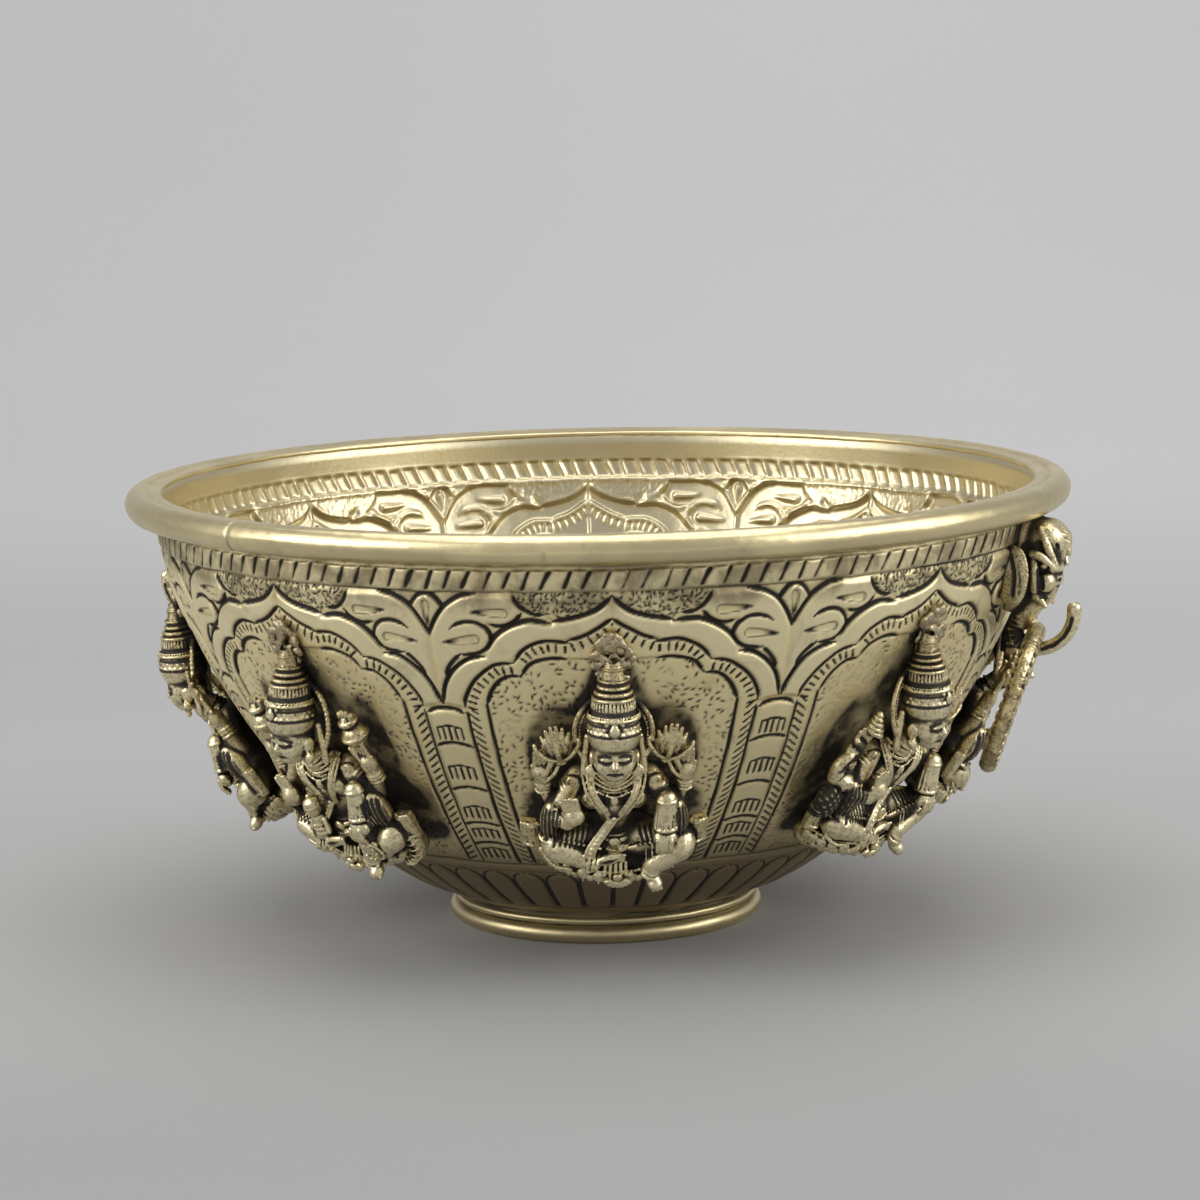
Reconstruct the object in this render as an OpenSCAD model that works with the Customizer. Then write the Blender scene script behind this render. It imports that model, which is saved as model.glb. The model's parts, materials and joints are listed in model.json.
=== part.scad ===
// Offering bowl of embossed brass with a rolled rim, a turned foot ring,
// eight cast seated figures round the wall and two elephant-head ring handles.
// Millimetres. +Z up, origin at the centre of the foot's resting plane,
// handles on the X axis.

/* [Bowl] */
// Outer radius over the rim bead
rim_outer_r = 152; // [140:1:170]
// Height of the top of the rim bead above the resting plane
bowl_height = 143.7; // [136:0.1:156]
// Thickness of the beaten sheet
sheet = 1.5; // [1:0.1:2.4]
// How far inside the foot's outer radius the wall leaves the flat floor
floor_inset = 10; // [7:0.5:14]
// How full the belly is (lower is rounder near the floor)
belly_share = 0.643; // [0.6:0.001:0.7]
// How early the wall turns upright (higher turns sooner)
shoulder_share = 1.543; // [1.4:0.001:1.7]

/* [Rim] */
// Radius of the round bead on the rim
bead_r = 4.7; // [4:0.1:5.4]
// Height of the flat on the bead's inner side that grips the lip
bead_seat_h = 7; // [5:0.1:7.6]
// How far the bead's centre stands out from the lip
bead_reach = 5.3; // [4.8:0.1:6]

/* [Embossed bands] */
// How far the raised bands stand out of the wall
emboss = 0.5; // [0.3:0.05:0.8]
// Height of the hatched band under the rim
hatch_band_h = 6.5; // [5:0.5:8]
// Plain neck between the rim bead and the hatched band
neck_h = 1.8; // [1:0.1:3]
// Height above the resting plane of the line over the petals
petal_line_z = 31; // [28:0.5:33]
// Height of that line
petal_line_h = 2.4; // [1.5:0.1:3.5]

/* [Foot ring] */
// Outer radius of the foot's main round
foot_r = 51; // [49:0.5:54]
// Height of the foot up to the bowl's floor
foot_h = 8; // [7:0.5:10]
// Radial thickness of the foot ring
foot_w = 8; // [6.5:0.5:9]
// Radius of the foot's main round
foot_round_r = 2.9; // [2.4:0.1:3.3]
// Radius of the small upper bead of the foot
foot_bead_r = 1.3; // [1:0.1:1.6]
// Width of the flat that the bowl rests on
foot_flat_w = 3; // [2:0.1:4]

/* [Figures] */
// Height between a figure's crown tip and the top of the wall
crown_drop = 28.3; // [25:0.1:34]
// Width of a figure across its raised hands
figure_w = 50; // [44:1:53]
// How far a figure stands out from the wall
figure_d = 22; // [18:0.5:24]
// Height of a figure's lotus, where it meets the wall, above the petal line
figure_rise = 4.6; // [3:0.1:8]
// Gap between a figure's back and the wall
figure_gap = 0.3; // [0.26:0.01:0.5]
// Gap between an elephant bracket's back and the wall
bracket_gap = 0.3; // [0.2:0.05:0.5]
// Radius of the brazing blob that holds a crown to the wall
braze_r = 4.2; // [3.2:0.1:5]

/* [Handles] */
// Outer diameter of a ring handle
ring_d = 50.5; // [44:0.5:52]
// Diameter of the ring's rod
ring_rod_d = 6; // [5:0.1:6.4]
// Angle at which a ring leans in from hanging plumb, at rest
ring_lean = 20; // [0:1:26]
// How far each ring has turned about the line that it hangs on, in degrees
ring_turn = 10; // [0:0.5:12]
// Running gap between the ring and the crook of the trunk
ring_gap = 0.3; // [0.2:0.05:0.6]
// Diameter of the trunk at the crook and tip
trunk_d = 4.4; // [3.6:0.1:4.8]
// Diameter of the trunk where it leaves the face
trunk_root_d = 8.4; // [7:0.1:9]
// How far the ring's rod stands out from the wall beside the crook
crook_out = 16.7; // [16:0.1:19]
// Height from the underside of the crook up to the top of the wall
crook_drop = 44.5; // [42:0.5:48]
// Width across the spread ears
ear_span = 36; // [32:0.5:38]
// Height of the elephant's head, mouth to crown
head_h = 27; // [24:0.5:28]

/* [Hidden] */

brass = "#b59a5c";
dark_brass = "#8d7748";
pale_brass = "#c7ac72";
braze_colour = "#c79a78";

figure_count = 8;
figure_step = 360 / figure_count;
first_figure = figure_step / 2;

cut_over = 1;
wall_steps = 22;
figure_bed_steps = 7;
figure_bed_sides = 48;
figure_bed_sag = 0.35;
normal_step = 0.01;

// The wall
floor_r = foot_r - floor_inset;
bead_z = bowl_height - bead_r;
wall_top_z = bead_z - bead_r;
lip_top_z = bead_z + bead_seat_h / 2;
lip_r = rim_outer_r - bead_r - bead_reach;

// Share of the wall's height, and radius of its outer face at that height
function wall_share(z) = (z - foot_h) / (wall_top_z - foot_h);
function wall_r(z) = floor_r + (lip_r - floor_r)
    * pow(1 - pow(1 - min(1, max(0, wall_share(z))), shoulder_share), belly_share);
// Steps crowd towards the floor, where the wall turns fastest
function step_z(i, steps) = foot_h + (wall_top_z - foot_h) * pow(i / steps, 2);
// Outward normal of the wall's outline at height z, as [radial, vertical]
function wall_normal(z) = let(
    low = max(foot_h, z - normal_step * sheet), high = min(wall_top_z, z + normal_step * sheet),
    run = wall_r(high) - wall_r(low), rise = high - low, slant = sqrt(run * run + rise * rise))
    [rise / slant, -run / slant];
function offset_point(z, by) = [wall_r(z), z] + by * wall_normal(z);

// Raised bands follow the outer face, each from a lower to an upper height
hatch_top_z = wall_top_z - neck_h;
band_zs = [
    [petal_line_z, petal_line_z + petal_line_h],
    [hatch_top_z - hatch_band_h, hatch_top_z]
];
band_steps = 4;

// The foot ring
foot_inner_r = foot_r - foot_w;
foot_round_z = foot_round_r;
foot_bead_z = 2 * foot_round_r + foot_bead_r;

// Places on a figure, as shares of its width, height and depth. The thickness of
// limbs, crowns and attributes is in limb units, which follow the figure's height
limb_unit_share = 0.632;
figure_z = petal_line_z + petal_line_h + figure_rise;
crown_z = wall_top_z - crown_drop;
crown_out = wall_r(crown_z) - wall_r(figure_z);
figure_lean = atan2(crown_out, crown_z - figure_z);
figure_h = norm([crown_out, crown_z - figure_z]);
limb_unit = limb_unit_share * figure_h;
function on_figure(share) = [share.x * figure_w, share.y * figure_h, share.z * figure_d];
function mirrored(share) = [-share.x, share.y, share.z];
// How far each figure turns its head, counted round the bowl from the X axis
head_turns = [-12, 10, 0, 12, -8, -22, 0, 24];

// The ring handle
ring_rod_r = ring_rod_d / 2;
ring_mean_r = ring_d / 2 - ring_rod_r;
trunk_r = trunk_d / 2;
crook_z = wall_top_z - crook_drop;
crook_r = wall_r(crook_z) + crook_out;
crook_mid_z = crook_z + trunk_r;
ring_pivot_z = crook_mid_z + trunk_r + ring_gap + ring_rod_r;
trunk_side_gap = 1.2;
trunk_inner_bend_r = trunk_r + ring_rod_r + trunk_side_gap;
trunk_outer_bend_r = 12.3;
joint_ball_share = 1.06;
trunk_tip_rise = 0.8;

// The elephant's head, from the mouth up, against the wall
head_top_gap = 1;
head_mouth_z = wall_top_z - head_top_gap - head_h;
head_wall_r = wall_r(head_mouth_z + head_h / 2);
bed_sag = 0.1;
ear_sheet = 2.2;
ear_dish_r = 26;
// Balls and tapers of the head: [out from the wall, sideways, up the head], radius
// Each is a share of the head's height
brow_shares = [0.285, 0.165, 0.67, 0.285];
crown_shares = [0.2, 0.1, 0.8, 0.2];
temple_shares = [0.14, 0.24, 0.55, 0.2];
cheek_shares = [0.1, 0.22, 0.2, 0.18];
root_share = [0.17, 0, 0.1];
face_share = [0.28, 0, 0.52];
face_r_share = 0.27;
// Outline of one ear, as shares of half the ear span and of the head's height
ear_shares = [[0.3, 0.84], [0.52, 0.97], [0.78, 0.97], [0.95, 0.84], [1, 0.64],
    [0.93, 0.4], [0.78, 0.2], [0.6, 0.06], [0.47, 0.12], [0.38, 0.3]];

module bowl_outline() {
    polygon(concat(
        [[0, foot_h]],
        [for (i = [0 : wall_steps]) [wall_r(step_z(i, wall_steps)), step_z(i, wall_steps)]],
        [[lip_r, lip_top_z], [lip_r - sheet, lip_top_z]],
        [for (i = [wall_steps : -1 : 0]) offset_point(step_z(i, wall_steps), -sheet)],
        [[0, foot_h + sheet]]));
}

module band_outline(band) {
    low = band[0];
    high = band[1];
    rise = (high - low) / band_steps;
    polygon(concat(
        [for (i = [0 : band_steps]) offset_point(low + i * rise, -sheet / 2)],
        [for (i = [band_steps : -1 : 0]) offset_point(low + i * rise, emboss)]));
}

module bowl_shell() {
    color(brass) union() {
        rotate_extrude($fn = 180) bowl_outline();
        for (band = band_zs) rotate_extrude($fn = 180) band_outline(band);
    }
}

// Everything that the bowl's wall fills or encloses, grown outward by a gap
module wall_block(gap, steps, sides) {
    rotate_extrude($fn = sides) polygon(concat(
        [[0, foot_h - gap], [floor_r, foot_h - gap]],
        [for (i = [1 : steps]) offset_point(step_z(i, steps), gap)],
        [[lip_r + gap, bowl_height + cut_over], [0, bowl_height + cut_over]]));
}

module rim_bead() {
    color(pale_brass) difference() {
        rotate_extrude($fn = 180) union() {
            translate([lip_r + bead_reach, bead_z]) circle(r = bead_r, $fn = 48);
            translate([lip_r, bead_z - bead_seat_h / 2]) square([bead_reach, bead_seat_h]);
        }
        translate([0, 0, wall_top_z - cut_over])
            cylinder(r = lip_r, h = bowl_height, $fn = 180);
    }
}

module foot_ring() {
    color(pale_brass) difference() {
        rotate_extrude($fn = 180) union() {
            translate([foot_inner_r, 0])
                square([foot_w - foot_round_r, foot_h + sheet]);
            translate([foot_r - foot_round_r - foot_flat_w, 0])
                square([foot_flat_w, 2 * foot_round_r]);
            translate([foot_r - foot_round_r, foot_round_z]) circle(r = foot_round_r, $fn = 48);
            translate([foot_r - foot_round_r, foot_bead_z]) circle(r = foot_bead_r, $fn = 32);
        }
        wall_block(0, wall_steps, 180);
    }
}

// A limb joins two round ends: [from share, to share, radius at each end in limb units]
seat_shares = [[-0.3, 0.1, 0.28], [0.3, 0.1, 0.28], [0, 0.082, 0.6], 0.086];
leg_shares = [
    [[-0.08, 0.18, 0.44], [-0.36, 0.2, 0.6], 0.115, 0.096],
    [[0.08, 0.18, 0.44], [0.36, 0.2, 0.6], 0.115, 0.096],
    [[-0.36, 0.19, 0.62], [0.05, 0.19, 0.84], 0.088, 0.05],
    [[0.36, 0.19, 0.62], [0.21, 0.13, 0.77], 0.084, 0.055],
    [[0.21, 0.13, 0.77], [0.25, 0.1, 0.9], 0.05, 0.04]
];
trunk_shares = [
    [[0, 0.19, 0.4], [0, 0.3, 0.43], 0.165, 0.115],
    [[0, 0.3, 0.43], [0, 0.46, 0.43], 0.115, 0.145],
    [[-0.19, 0.515, 0.36], [0.19, 0.515, 0.36], 0.074, 0.074],
    [[-0.12, 0.455, 0.58], [-0.1, 0.475, 0.54], 0.078, 0.066],
    [[0.12, 0.455, 0.58], [0.1, 0.475, 0.54], 0.078, 0.066]
];
head_shares = [
    [[0, 0.66, 0.48], [0, 0.56, 0.5], 0.13, 0.084],
    [[0, 0.725, 0.47], [0, 0.81, 0.42], 0.136, 0.124],
    [[0, 0.82, 0.4], [0, 0.88, 0.34], 0.104, 0.084],
    [[0, 0.9, 0.31], [0, 0.975, 0.18], 0.074, 0.038]
];
arm_shares = [
    [[-0.22, 0.51, 0.36], [-0.36, 0.37, 0.52], 0.074, 0.08],
    [[-0.36, 0.37, 0.52], [-0.24, 0.38, 0.82], 0.07, 0.052],
    [[-0.22, 0.51, 0.3], [-0.41, 0.44, 0.42], 0.064, 0.066],
    [[-0.41, 0.44, 0.42], [-0.41, 0.58, 0.5], 0.062, 0.05],
    [[-0.41, 0.59, 0.5], [-0.41, 0.67, 0.53], 0.066, 0.046]
];
halo_share = [0, 0.685, 0.25];
halo_r_share = 0.23;
halo_rod_share = 0.026;
raised_hand_share = [-0.38, 0.71, 0.53];
lap_share = [0, 0.27, 0.7];

neck_share = [0, 0.55, 0.36];
bud_sides = 5;

// A ball of twenty flats, between whose corners and flats the stated radius lies
golden = (1 + sqrt(5)) / 2;
ball_points = [for (turn = [0 : 2], a = [-1, 1], b = [-golden, golden])
    turn == 0 ? [0, a, b] : turn == 1 ? [a, b, 0] : [b, 0, a]];
ball_edge_share = 2.1;
function near(i, j) = norm(ball_points[i] - ball_points[j]) < ball_edge_share;
function outward(i, j, k) =
    cross(ball_points[j] - ball_points[i], ball_points[k] - ball_points[i]) * ball_points[i] < 0;
ball_faces = [for (i = [0 : 9], j = [i + 1 : 10], k = [j + 1 : 11])
    if (near(i, j) && near(j, k) && near(i, k)) outward(i, j, k) ? [i, j, k] : [i, k, j]];
ball_mean_share = 1.71;

module ball_at(share, r_share) {
    translate(on_figure(share)) scale(r_share * limb_unit / ball_mean_share)
        polyhedron(ball_points, ball_faces);
}

module limb(shares) {
    hull() {
        ball_at(shares[0], shares[2]);
        ball_at(shares[1], shares[3]);
    }
}

module seat() {
    hull() for (i = [0 : 2]) ball_at(seat_shares[i], seat_shares[3]);
}

module halo() {
    translate(on_figure(halo_share)) rotate_extrude($fn = 12)
        translate([halo_r_share * limb_unit, 0]) circle(r = halo_rod_share * limb_unit, $fn = 3);
}

// The seated body that all eight figures share; turn swings head and crown
module seated_body(turn) {
    seat();
    for (limb_share = concat(leg_shares, trunk_shares)) limb(limb_share);
    for (side = [0, 1]) mirror([side, 0, 0])
        for (limb_share = arm_shares) limb(limb_share);
    turned_head(turn) for (limb_share = head_shares) limb(limb_share);
    halo();
}

module turned_head(turn) {
    translate(on_figure(neck_share)) rotate([0, turn, 0]) translate(-on_figure(neck_share))
        children();
}

// What the hands hold, each standing at a place given as a share
module lotus_bud(share) {
    size = bud_share * limb_unit;
    translate(on_figure(share)) rotate([-90, 0, 0]) {
        cylinder(r1 = size, r2 = size / 6, h = 2 * size, $fn = bud_sides);
        mirror([0, 0, 1]) cylinder(r1 = size, r2 = size / 2, h = size, $fn = bud_sides);
    }
}
bud_share = 0.055;

module pot(share) {
    size = pot_share * limb_unit;
    translate(on_figure(share)) {
        sphere(r = size, $fn = 6);
        translate([0, 0.7 * size, 0]) rotate([-90, 0, 0])
            cylinder(r1 = size / 2, r2 = 0.8 * size, h = size, $fn = bud_sides);
    }
}
pot_share = 0.068;

module rod(from_share, to_share, r_share) {
    limb([from_share, to_share, r_share, r_share]);
}

module disc(share, r_share, tilt) {
    r = r_share * limb_unit;
    translate(on_figure(share)) rotate([0, tilt, 0])
        cylinder(r = r, h = r / 2.5, center = true, $fn = 14);
}

module slab(share, size_share, tilt) {
    translate(on_figure(share)) rotate([0, tilt, 0])
        cube(size_share * limb_unit, center = true);
}

module small_elephant(side) {
    mirror([side, 0, 0]) {
        limb([[-0.39, 0.74, 0.42], [-0.33, 0.78, 0.42], 0.08, 0.062]);
        limb([[-0.33, 0.79, 0.44], [-0.23, 0.86, 0.42], 0.04, 0.024]);
    }
}

module child() {
    limb([[-0.05, 0.24, 0.8], [-0.08, 0.34, 0.82], 0.09, 0.07]);
    ball_at([-0.09, 0.41, 0.84], 0.064);
    limb([[-0.05, 0.23, 0.84], [0.12, 0.19, 0.88], 0.06, 0.04]);
}

module grain_sheaf(share) {
    size = sheaf_share * limb_unit;
    translate(on_figure(share)) rotate([-90, 0, 0])
        cylinder(r1 = size / 2, r2 = size, h = 3 * size, $fn = 8);
}
sheaf_share = 0.055;

// A figure number counts round the bowl from the X axis towards +Y
module at_wall(number) {
    rotate([0, 0, first_figure + number * figure_step])
        translate([wall_r(figure_z), 0, figure_z])
            rotate([0, figure_lean, 0]) rotate([90, 0, 90]) children();
}

module cast_figure(number) {
    color(dark_brass) difference() {
        at_wall(number) union() {
            seated_body(head_turns[number]);
            children();
        }
        figure_bed();
    }
}

// The wall behind the figures and blobs, drawn coarse and clear of the true wall
module figure_bed() {
    low = figure_z - figure_d;
    rise = (wall_top_z - low) / figure_bed_steps;
    rotate_extrude($fn = figure_bed_sides) polygon(concat(
        [[0, low]],
        [for (i = [0 : figure_bed_steps]) offset_point(low + i * rise, figure_gap + figure_bed_sag)],
        [[0, wall_top_z]]));
}

module sheaf_pair() {
    grain_sheaf([0.4, 0.66, 0.53]);
    rod([-0.42, 0.5, 0.58], [-0.42, 0.84, 0.5], 0.022);
}

module lotus_figure() {
    cast_figure(6) {
        lotus_bud(raised_hand_share);
        lotus_bud(mirrored(raised_hand_share));
    }
}

module child_figure() {
    cast_figure(5) {
        child();
        pot(raised_hand_share);
        pot(mirrored(raised_hand_share));
    }
}

module coin_figure() {
    cast_figure(4) {
        pot(lap_share);
        disc(raised_hand_share, 0.06, 0);
        lotus_bud(mirrored(raised_hand_share));
    }
}

module grain_figure() {
    cast_figure(3) sheaf_pair();
}

module elephant_figure() {
    cast_figure(2) {
        for (side = [0, 1]) small_elephant(side);
        lotus_bud(raised_hand_share);
        lotus_bud(mirrored(raised_hand_share));
    }
}

module shield_figure() {
    cast_figure(1) {
        disc([0.38, 0.38, 0.58], 0.13, 30);
        rod([-0.41, 0.57, 0.54], [-0.42, 0.87, 0.42], 0.026);
    }
}

module book_figure() {
    cast_figure(0) {
        slab([0.24, 0.39, 0.85], [0.16, 0.2, 0.05], 15);
        lotus_bud(raised_hand_share);
    }
}

module conch_figure() {
    cast_figure(7) {
        pot(raised_hand_share);
        disc(mirrored(raised_hand_share), 0.1, 20);
    }
}

// One blob of brazing at each crown tip, bedded on the wall and the crown
module braze_spots() {
    color(braze_colour) difference() {
        for (number = [0 : figure_count - 1]) at_wall(number)
            ball_at(braze_at_share, braze_r / limb_unit);
        figure_bed();
        for (number = [0 : figure_count - 1]) at_wall(number)
            turned_head(head_turns[number]) limb(finial_clear_shares);
    }
}
braze_at_share = [0, 1.0, 0.05];
// A ball's flats lie inside its stated radius, so the clearance is taken wider
crown_clear_share = 1.5;
finial_clear_shares = concat(
    [for (i = [0, 1]) head_shares[3][i]],
    [for (i = [2, 3]) head_shares[3][i] + figure_gap / limb_unit * crown_clear_share]);

// The ring hangs in the crook of an elephant's trunk on the X axis
module trunk_bend(centre, bend_r, start, sweep) {
    translate([centre.x, 0, centre.y]) rotate([90, 0, 0])
        rotate([0, 0, start]) rotate_extrude(angle = sweep, $fn = 96)
            translate([bend_r, 0]) circle(r = trunk_r, $fn = 32);
}

// A round taper between two places in the plane of the trunk, with a ball at its thin end
module taper(from, to, from_r, to_r) {
    run = to - from;
    translate(from) {
        rotate([0, atan2(run.x, run.z), 0]) cylinder(r1 = from_r, r2 = to_r, h = norm(run), $fn = 48);
        sphere(r = joint_ball_share * from_r, $fn = 48);
    }
}

module trunk() {
    inner_leg_r = crook_r - trunk_inner_bend_r;
    inner_z = crook_mid_z + trunk_inner_bend_r;
    outer_z = crook_mid_z + trunk_outer_bend_r;
    tip_r = crook_r + trunk_outer_bend_r;
    trunk_bend([crook_r, inner_z], trunk_inner_bend_r, 180, 90);
    trunk_bend([crook_r, outer_z], trunk_outer_bend_r, 270, 90);
    translate([tip_r, 0, outer_z]) cylinder(r = trunk_r, h = trunk_tip_rise, $fn = 32);
    translate([tip_r, 0, outer_z + trunk_tip_rise]) sphere(r = trunk_r, $fn = 32);
    taper([inner_leg_r, 0, inner_z], on_head(root_share), trunk_r, trunk_root_d / 2);
    taper(on_head(root_share), on_head(face_share), trunk_root_d / 2, face_r_share * head_h);
}

function on_head(share) = [head_wall_r, 0, head_mouth_z] + share * head_h;

module head_ball(shares) {
    translate(on_head([shares[0], shares[1], shares[2]])) sphere(r = shares[3] * head_h, $fn = 48);
}

module ear() {
    dish_centre = [head_wall_r + ear_dish_r, ear_span / 2, head_mouth_z + head_h / 2];
    intersection() {
        translate([0, 0, head_mouth_z]) rotate([90, 0, 90])
            linear_extrude(height = rim_outer_r)
                polygon([for (share = ear_shares) [share.x * ear_span / 2, share.y * head_h]]);
        translate(dish_centre) difference() {
            sphere(r = ear_dish_r, $fn = 96);
            sphere(r = ear_dish_r - ear_sheet, $fn = 96);
        }
    }
}

// The wall and its hatched band behind the head, grown by the bracket's gap
module head_bed() {
    band = band_zs[1];
    band_gap = emboss + bracket_gap;
    rotate([0, 0, 90]) rotate_extrude($fn = 180) polygon([
        [0, crook_z], [wall_r(crook_z) + bracket_gap, crook_z],
        offset_point(head_mouth_z, bracket_gap + bed_sag),
        offset_point((head_mouth_z + band[0]) / 2, bracket_gap + bed_sag),
        offset_point(band[0], band_gap),
        [lip_r + band_gap, wall_top_z + cut_over], [0, wall_top_z + cut_over]]);
}

module elephant_bracket() {
    color(dark_brass) difference() {
        union() {
            trunk();
            for (side = [0, 1]) mirror([0, side, 0]) {
                for (shares = [brow_shares, crown_shares, temple_shares, cheek_shares])
                    head_ball(shares);
                ear();
            }
        }
        head_bed();
    }
}

module ring_handle() {
    color(pale_brass) translate([crook_r, 0, ring_pivot_z])
        rotate([0, ring_lean, 0]) rotate([0, 0, ring_turn])
        translate([0, 0, -ring_mean_r]) rotate([0, 90, 0])
            rotate_extrude($fn = 180) translate([ring_mean_r, 0]) circle(r = ring_rod_r, $fn = 48);
}
module elephant_bracket_right() { elephant_bracket(); }
module elephant_bracket_left() { mirror([1, 0, 0]) elephant_bracket(); }
module ring_handle_right() { ring_handle(); }
module ring_handle_left() { mirror([1, 0, 0]) ring_handle(); }

bowl_shell();
rim_bead();
foot_ring();
braze_spots();
elephant_bracket_right();
elephant_bracket_left();
ring_handle_right();
ring_handle_left();
lotus_figure();
child_figure();
coin_figure();
grain_figure();
elephant_figure();
shield_figure();
book_figure();
conch_figure();
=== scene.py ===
import json
import math

import bpy
import numpy as np
from mathutils import Matrix

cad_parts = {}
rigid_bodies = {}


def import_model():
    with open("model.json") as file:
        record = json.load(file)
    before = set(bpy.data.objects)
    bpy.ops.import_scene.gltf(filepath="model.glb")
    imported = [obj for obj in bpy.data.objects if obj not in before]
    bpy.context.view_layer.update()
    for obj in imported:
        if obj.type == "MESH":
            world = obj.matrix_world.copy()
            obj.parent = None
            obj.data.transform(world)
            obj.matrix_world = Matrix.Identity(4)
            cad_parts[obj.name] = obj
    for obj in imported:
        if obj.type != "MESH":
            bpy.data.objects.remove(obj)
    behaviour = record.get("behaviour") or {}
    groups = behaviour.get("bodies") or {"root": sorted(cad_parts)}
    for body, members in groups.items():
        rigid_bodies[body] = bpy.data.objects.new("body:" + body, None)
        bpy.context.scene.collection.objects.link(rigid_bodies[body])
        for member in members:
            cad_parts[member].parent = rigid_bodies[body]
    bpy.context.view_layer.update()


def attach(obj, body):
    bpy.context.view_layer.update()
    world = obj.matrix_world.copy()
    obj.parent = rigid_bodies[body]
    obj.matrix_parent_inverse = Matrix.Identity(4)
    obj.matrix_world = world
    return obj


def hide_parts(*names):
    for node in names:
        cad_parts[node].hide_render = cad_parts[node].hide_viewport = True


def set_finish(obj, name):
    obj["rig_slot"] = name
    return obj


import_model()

# Sizes in millimetres, as in the part; every mesh is turned into metres when it is made
MM = 0.001
FLOOR_R, LIP_R, SHEET = 41.0, 142.0, 1.5
FOOT_H, WALL_TOP, LIP_TOP = 8.0, 134.3, 142.5
BEAD_R, BEAD_AT, BUTT_JOINT = 4.7, (147.3, 139.0), 115.4
FIGURE_Z, CROWN_Z = 38.0, 106.0


def wall_r(z):
    """Radius of the wall's outer face at height z."""
    share = np.clip((np.asarray(z, float) - FOOT_H) / (WALL_TOP - FOOT_H), 0, 1)
    return FLOOR_R + (LIP_R - FLOOR_R) * (1 - (1 - share) ** 1.543) ** 0.643


profile_z = np.linspace(FOOT_H, WALL_TOP, 8001)
profile_r = wall_r(profile_z)
profile_s = np.concatenate([[0], np.cumsum(np.hypot(np.diff(profile_r), np.diff(profile_z)))])
profile_nr = np.gradient(profile_z, profile_s)
profile_nz = -np.gradient(profile_r, profile_s)


def along_wall(z):
    """Distance up the wall's outline from the floor's edge."""
    return np.interp(z, profile_z, profile_s)


def smooth(low, high, x):
    """0 at low, 1 at high and eased between them; low may be the larger."""
    t = np.clip((x - low) / (high - low), 0, 1)
    return t * t * (3 - 2 * t)


def cloud(u, v, rows, cols, seed):
    """Smooth noise from -1 to 1 over u and v in cells, which repeats after cols cells of u."""
    table = np.random.default_rng(seed).uniform(-1, 1, (rows + 2, cols))
    iu, iv = np.floor(u).astype(int), np.clip(np.floor(v).astype(int), 0, rows)
    fu, fv = u - np.floor(u), np.clip(v - iv, 0, 1)
    fu, fv = fu * fu * (3 - 2 * fu), fv * fv * (3 - 2 * fv)
    a, b = iu % cols, (iu + 1) % cols
    low = table[iv, a] * (1 - fu) + table[iv, b] * fu
    high = table[iv + 1, a] * (1 - fu) + table[iv + 1, b] * fu
    return low * (1 - fv) + high * fv


def cloud_round(angle, up, rows, cells, seed):
    """Smooth noise with a number of cells round a circle, and up in cells."""
    return cloud(angle * cells / (2 * math.pi), up + 0 * angle, rows, cells, seed)


def around(count):
    """Angles of points spread evenly round a circle."""
    return np.arange(count) * 2 * math.pi / count


def stripe(x, width):
    """1 on a line and next to nothing at two widths from it."""
    return np.exp(-((x / width) ** 2))


def run_along(curve):
    """Distance along a flat curve at each of its points."""
    return np.concatenate([[0], np.cumsum(np.hypot(*np.diff(curve, axis=0).T))])


def place_on(curve, lengths, at):
    """The point of a curve at a distance along it."""
    return np.array([np.interp(at, lengths, curve[:, k]) for k in range(curve.shape[1])])


# Meshes

def make_piece(name, points, faces, slot, body="bowl", stands_for=(), marks=None):
    """A mesh in the row frame from points in millimetres and arrays of faces, each of one width."""
    mesh = bpy.data.meshes.new(name)
    points = np.ascontiguousarray(np.asarray(points, np.float32) * MM)
    mesh.vertices.add(len(points))
    mesh.vertices.foreach_set("co", points.ravel())
    widths = np.concatenate([np.full(len(f), f.shape[1], np.int32) for f in faces])
    loops = np.concatenate([np.asarray(f, np.int32).ravel() for f in faces])
    mesh.loops.add(len(loops))
    mesh.loops.foreach_set("vertex_index", loops)
    mesh.polygons.add(len(widths))
    starts = np.concatenate([[0], np.cumsum(widths)[:-1]])
    mesh.polygons.foreach_set("loop_start", starts.astype(np.int32))
    mesh.polygons.foreach_set("use_smooth", np.full(len(widths), True))
    mesh.update(calc_edges=True)
    for mark, values in (marks or {}).items():
        layer = mesh.attributes.new(mark, "FLOAT", "POINT")
        layer.data.foreach_set("value", np.asarray(values, np.float32).ravel())
    piece = bpy.data.objects.new(name, mesh)
    bpy.context.scene.collection.objects.link(piece)
    if slot:
        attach(piece, body)
        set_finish(piece, slot)
    if stands_for:
        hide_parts(*stands_for)
    return piece


def turned(rows, cols, start=0, flip=False, closed=False):
    """Faces of a grid that goes round, rows by cols, its first point numbered start."""
    i = np.arange(rows if closed else rows - 1)[:, None]
    j = np.arange(cols)[None, :]
    up, on = (i + 1) % rows, (j + 1) % cols
    corners = i * cols + j, i * cols + on, up * cols + on, up * cols + j
    quads = np.stack(corners, -1).reshape(-1, 4) + start
    return quads[:, ::-1] if flip else quads


def bridge(fine, fine_count, rough, rough_count, flip=False):
    """Faces between a finely and a roughly divided ring that start at the same angle."""
    ratio = fine_count // rough_count
    k = np.arange(rough_count)[:, None]
    arc = fine + (k * ratio + np.arange(ratio + 1)[None, :]) % fine_count
    polygons = np.concatenate([arc, rough + (k + 1) % rough_count, rough + k], 1)
    return polygons[:, ::-1] if flip else polygons


def round_points(r, z, angle):
    """Points at radius r, height z and angle, which are arrays of one shape."""
    return np.stack([r * np.cos(angle), r * np.sin(angle), z + 0 * angle], -1).reshape(-1, 3)


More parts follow.
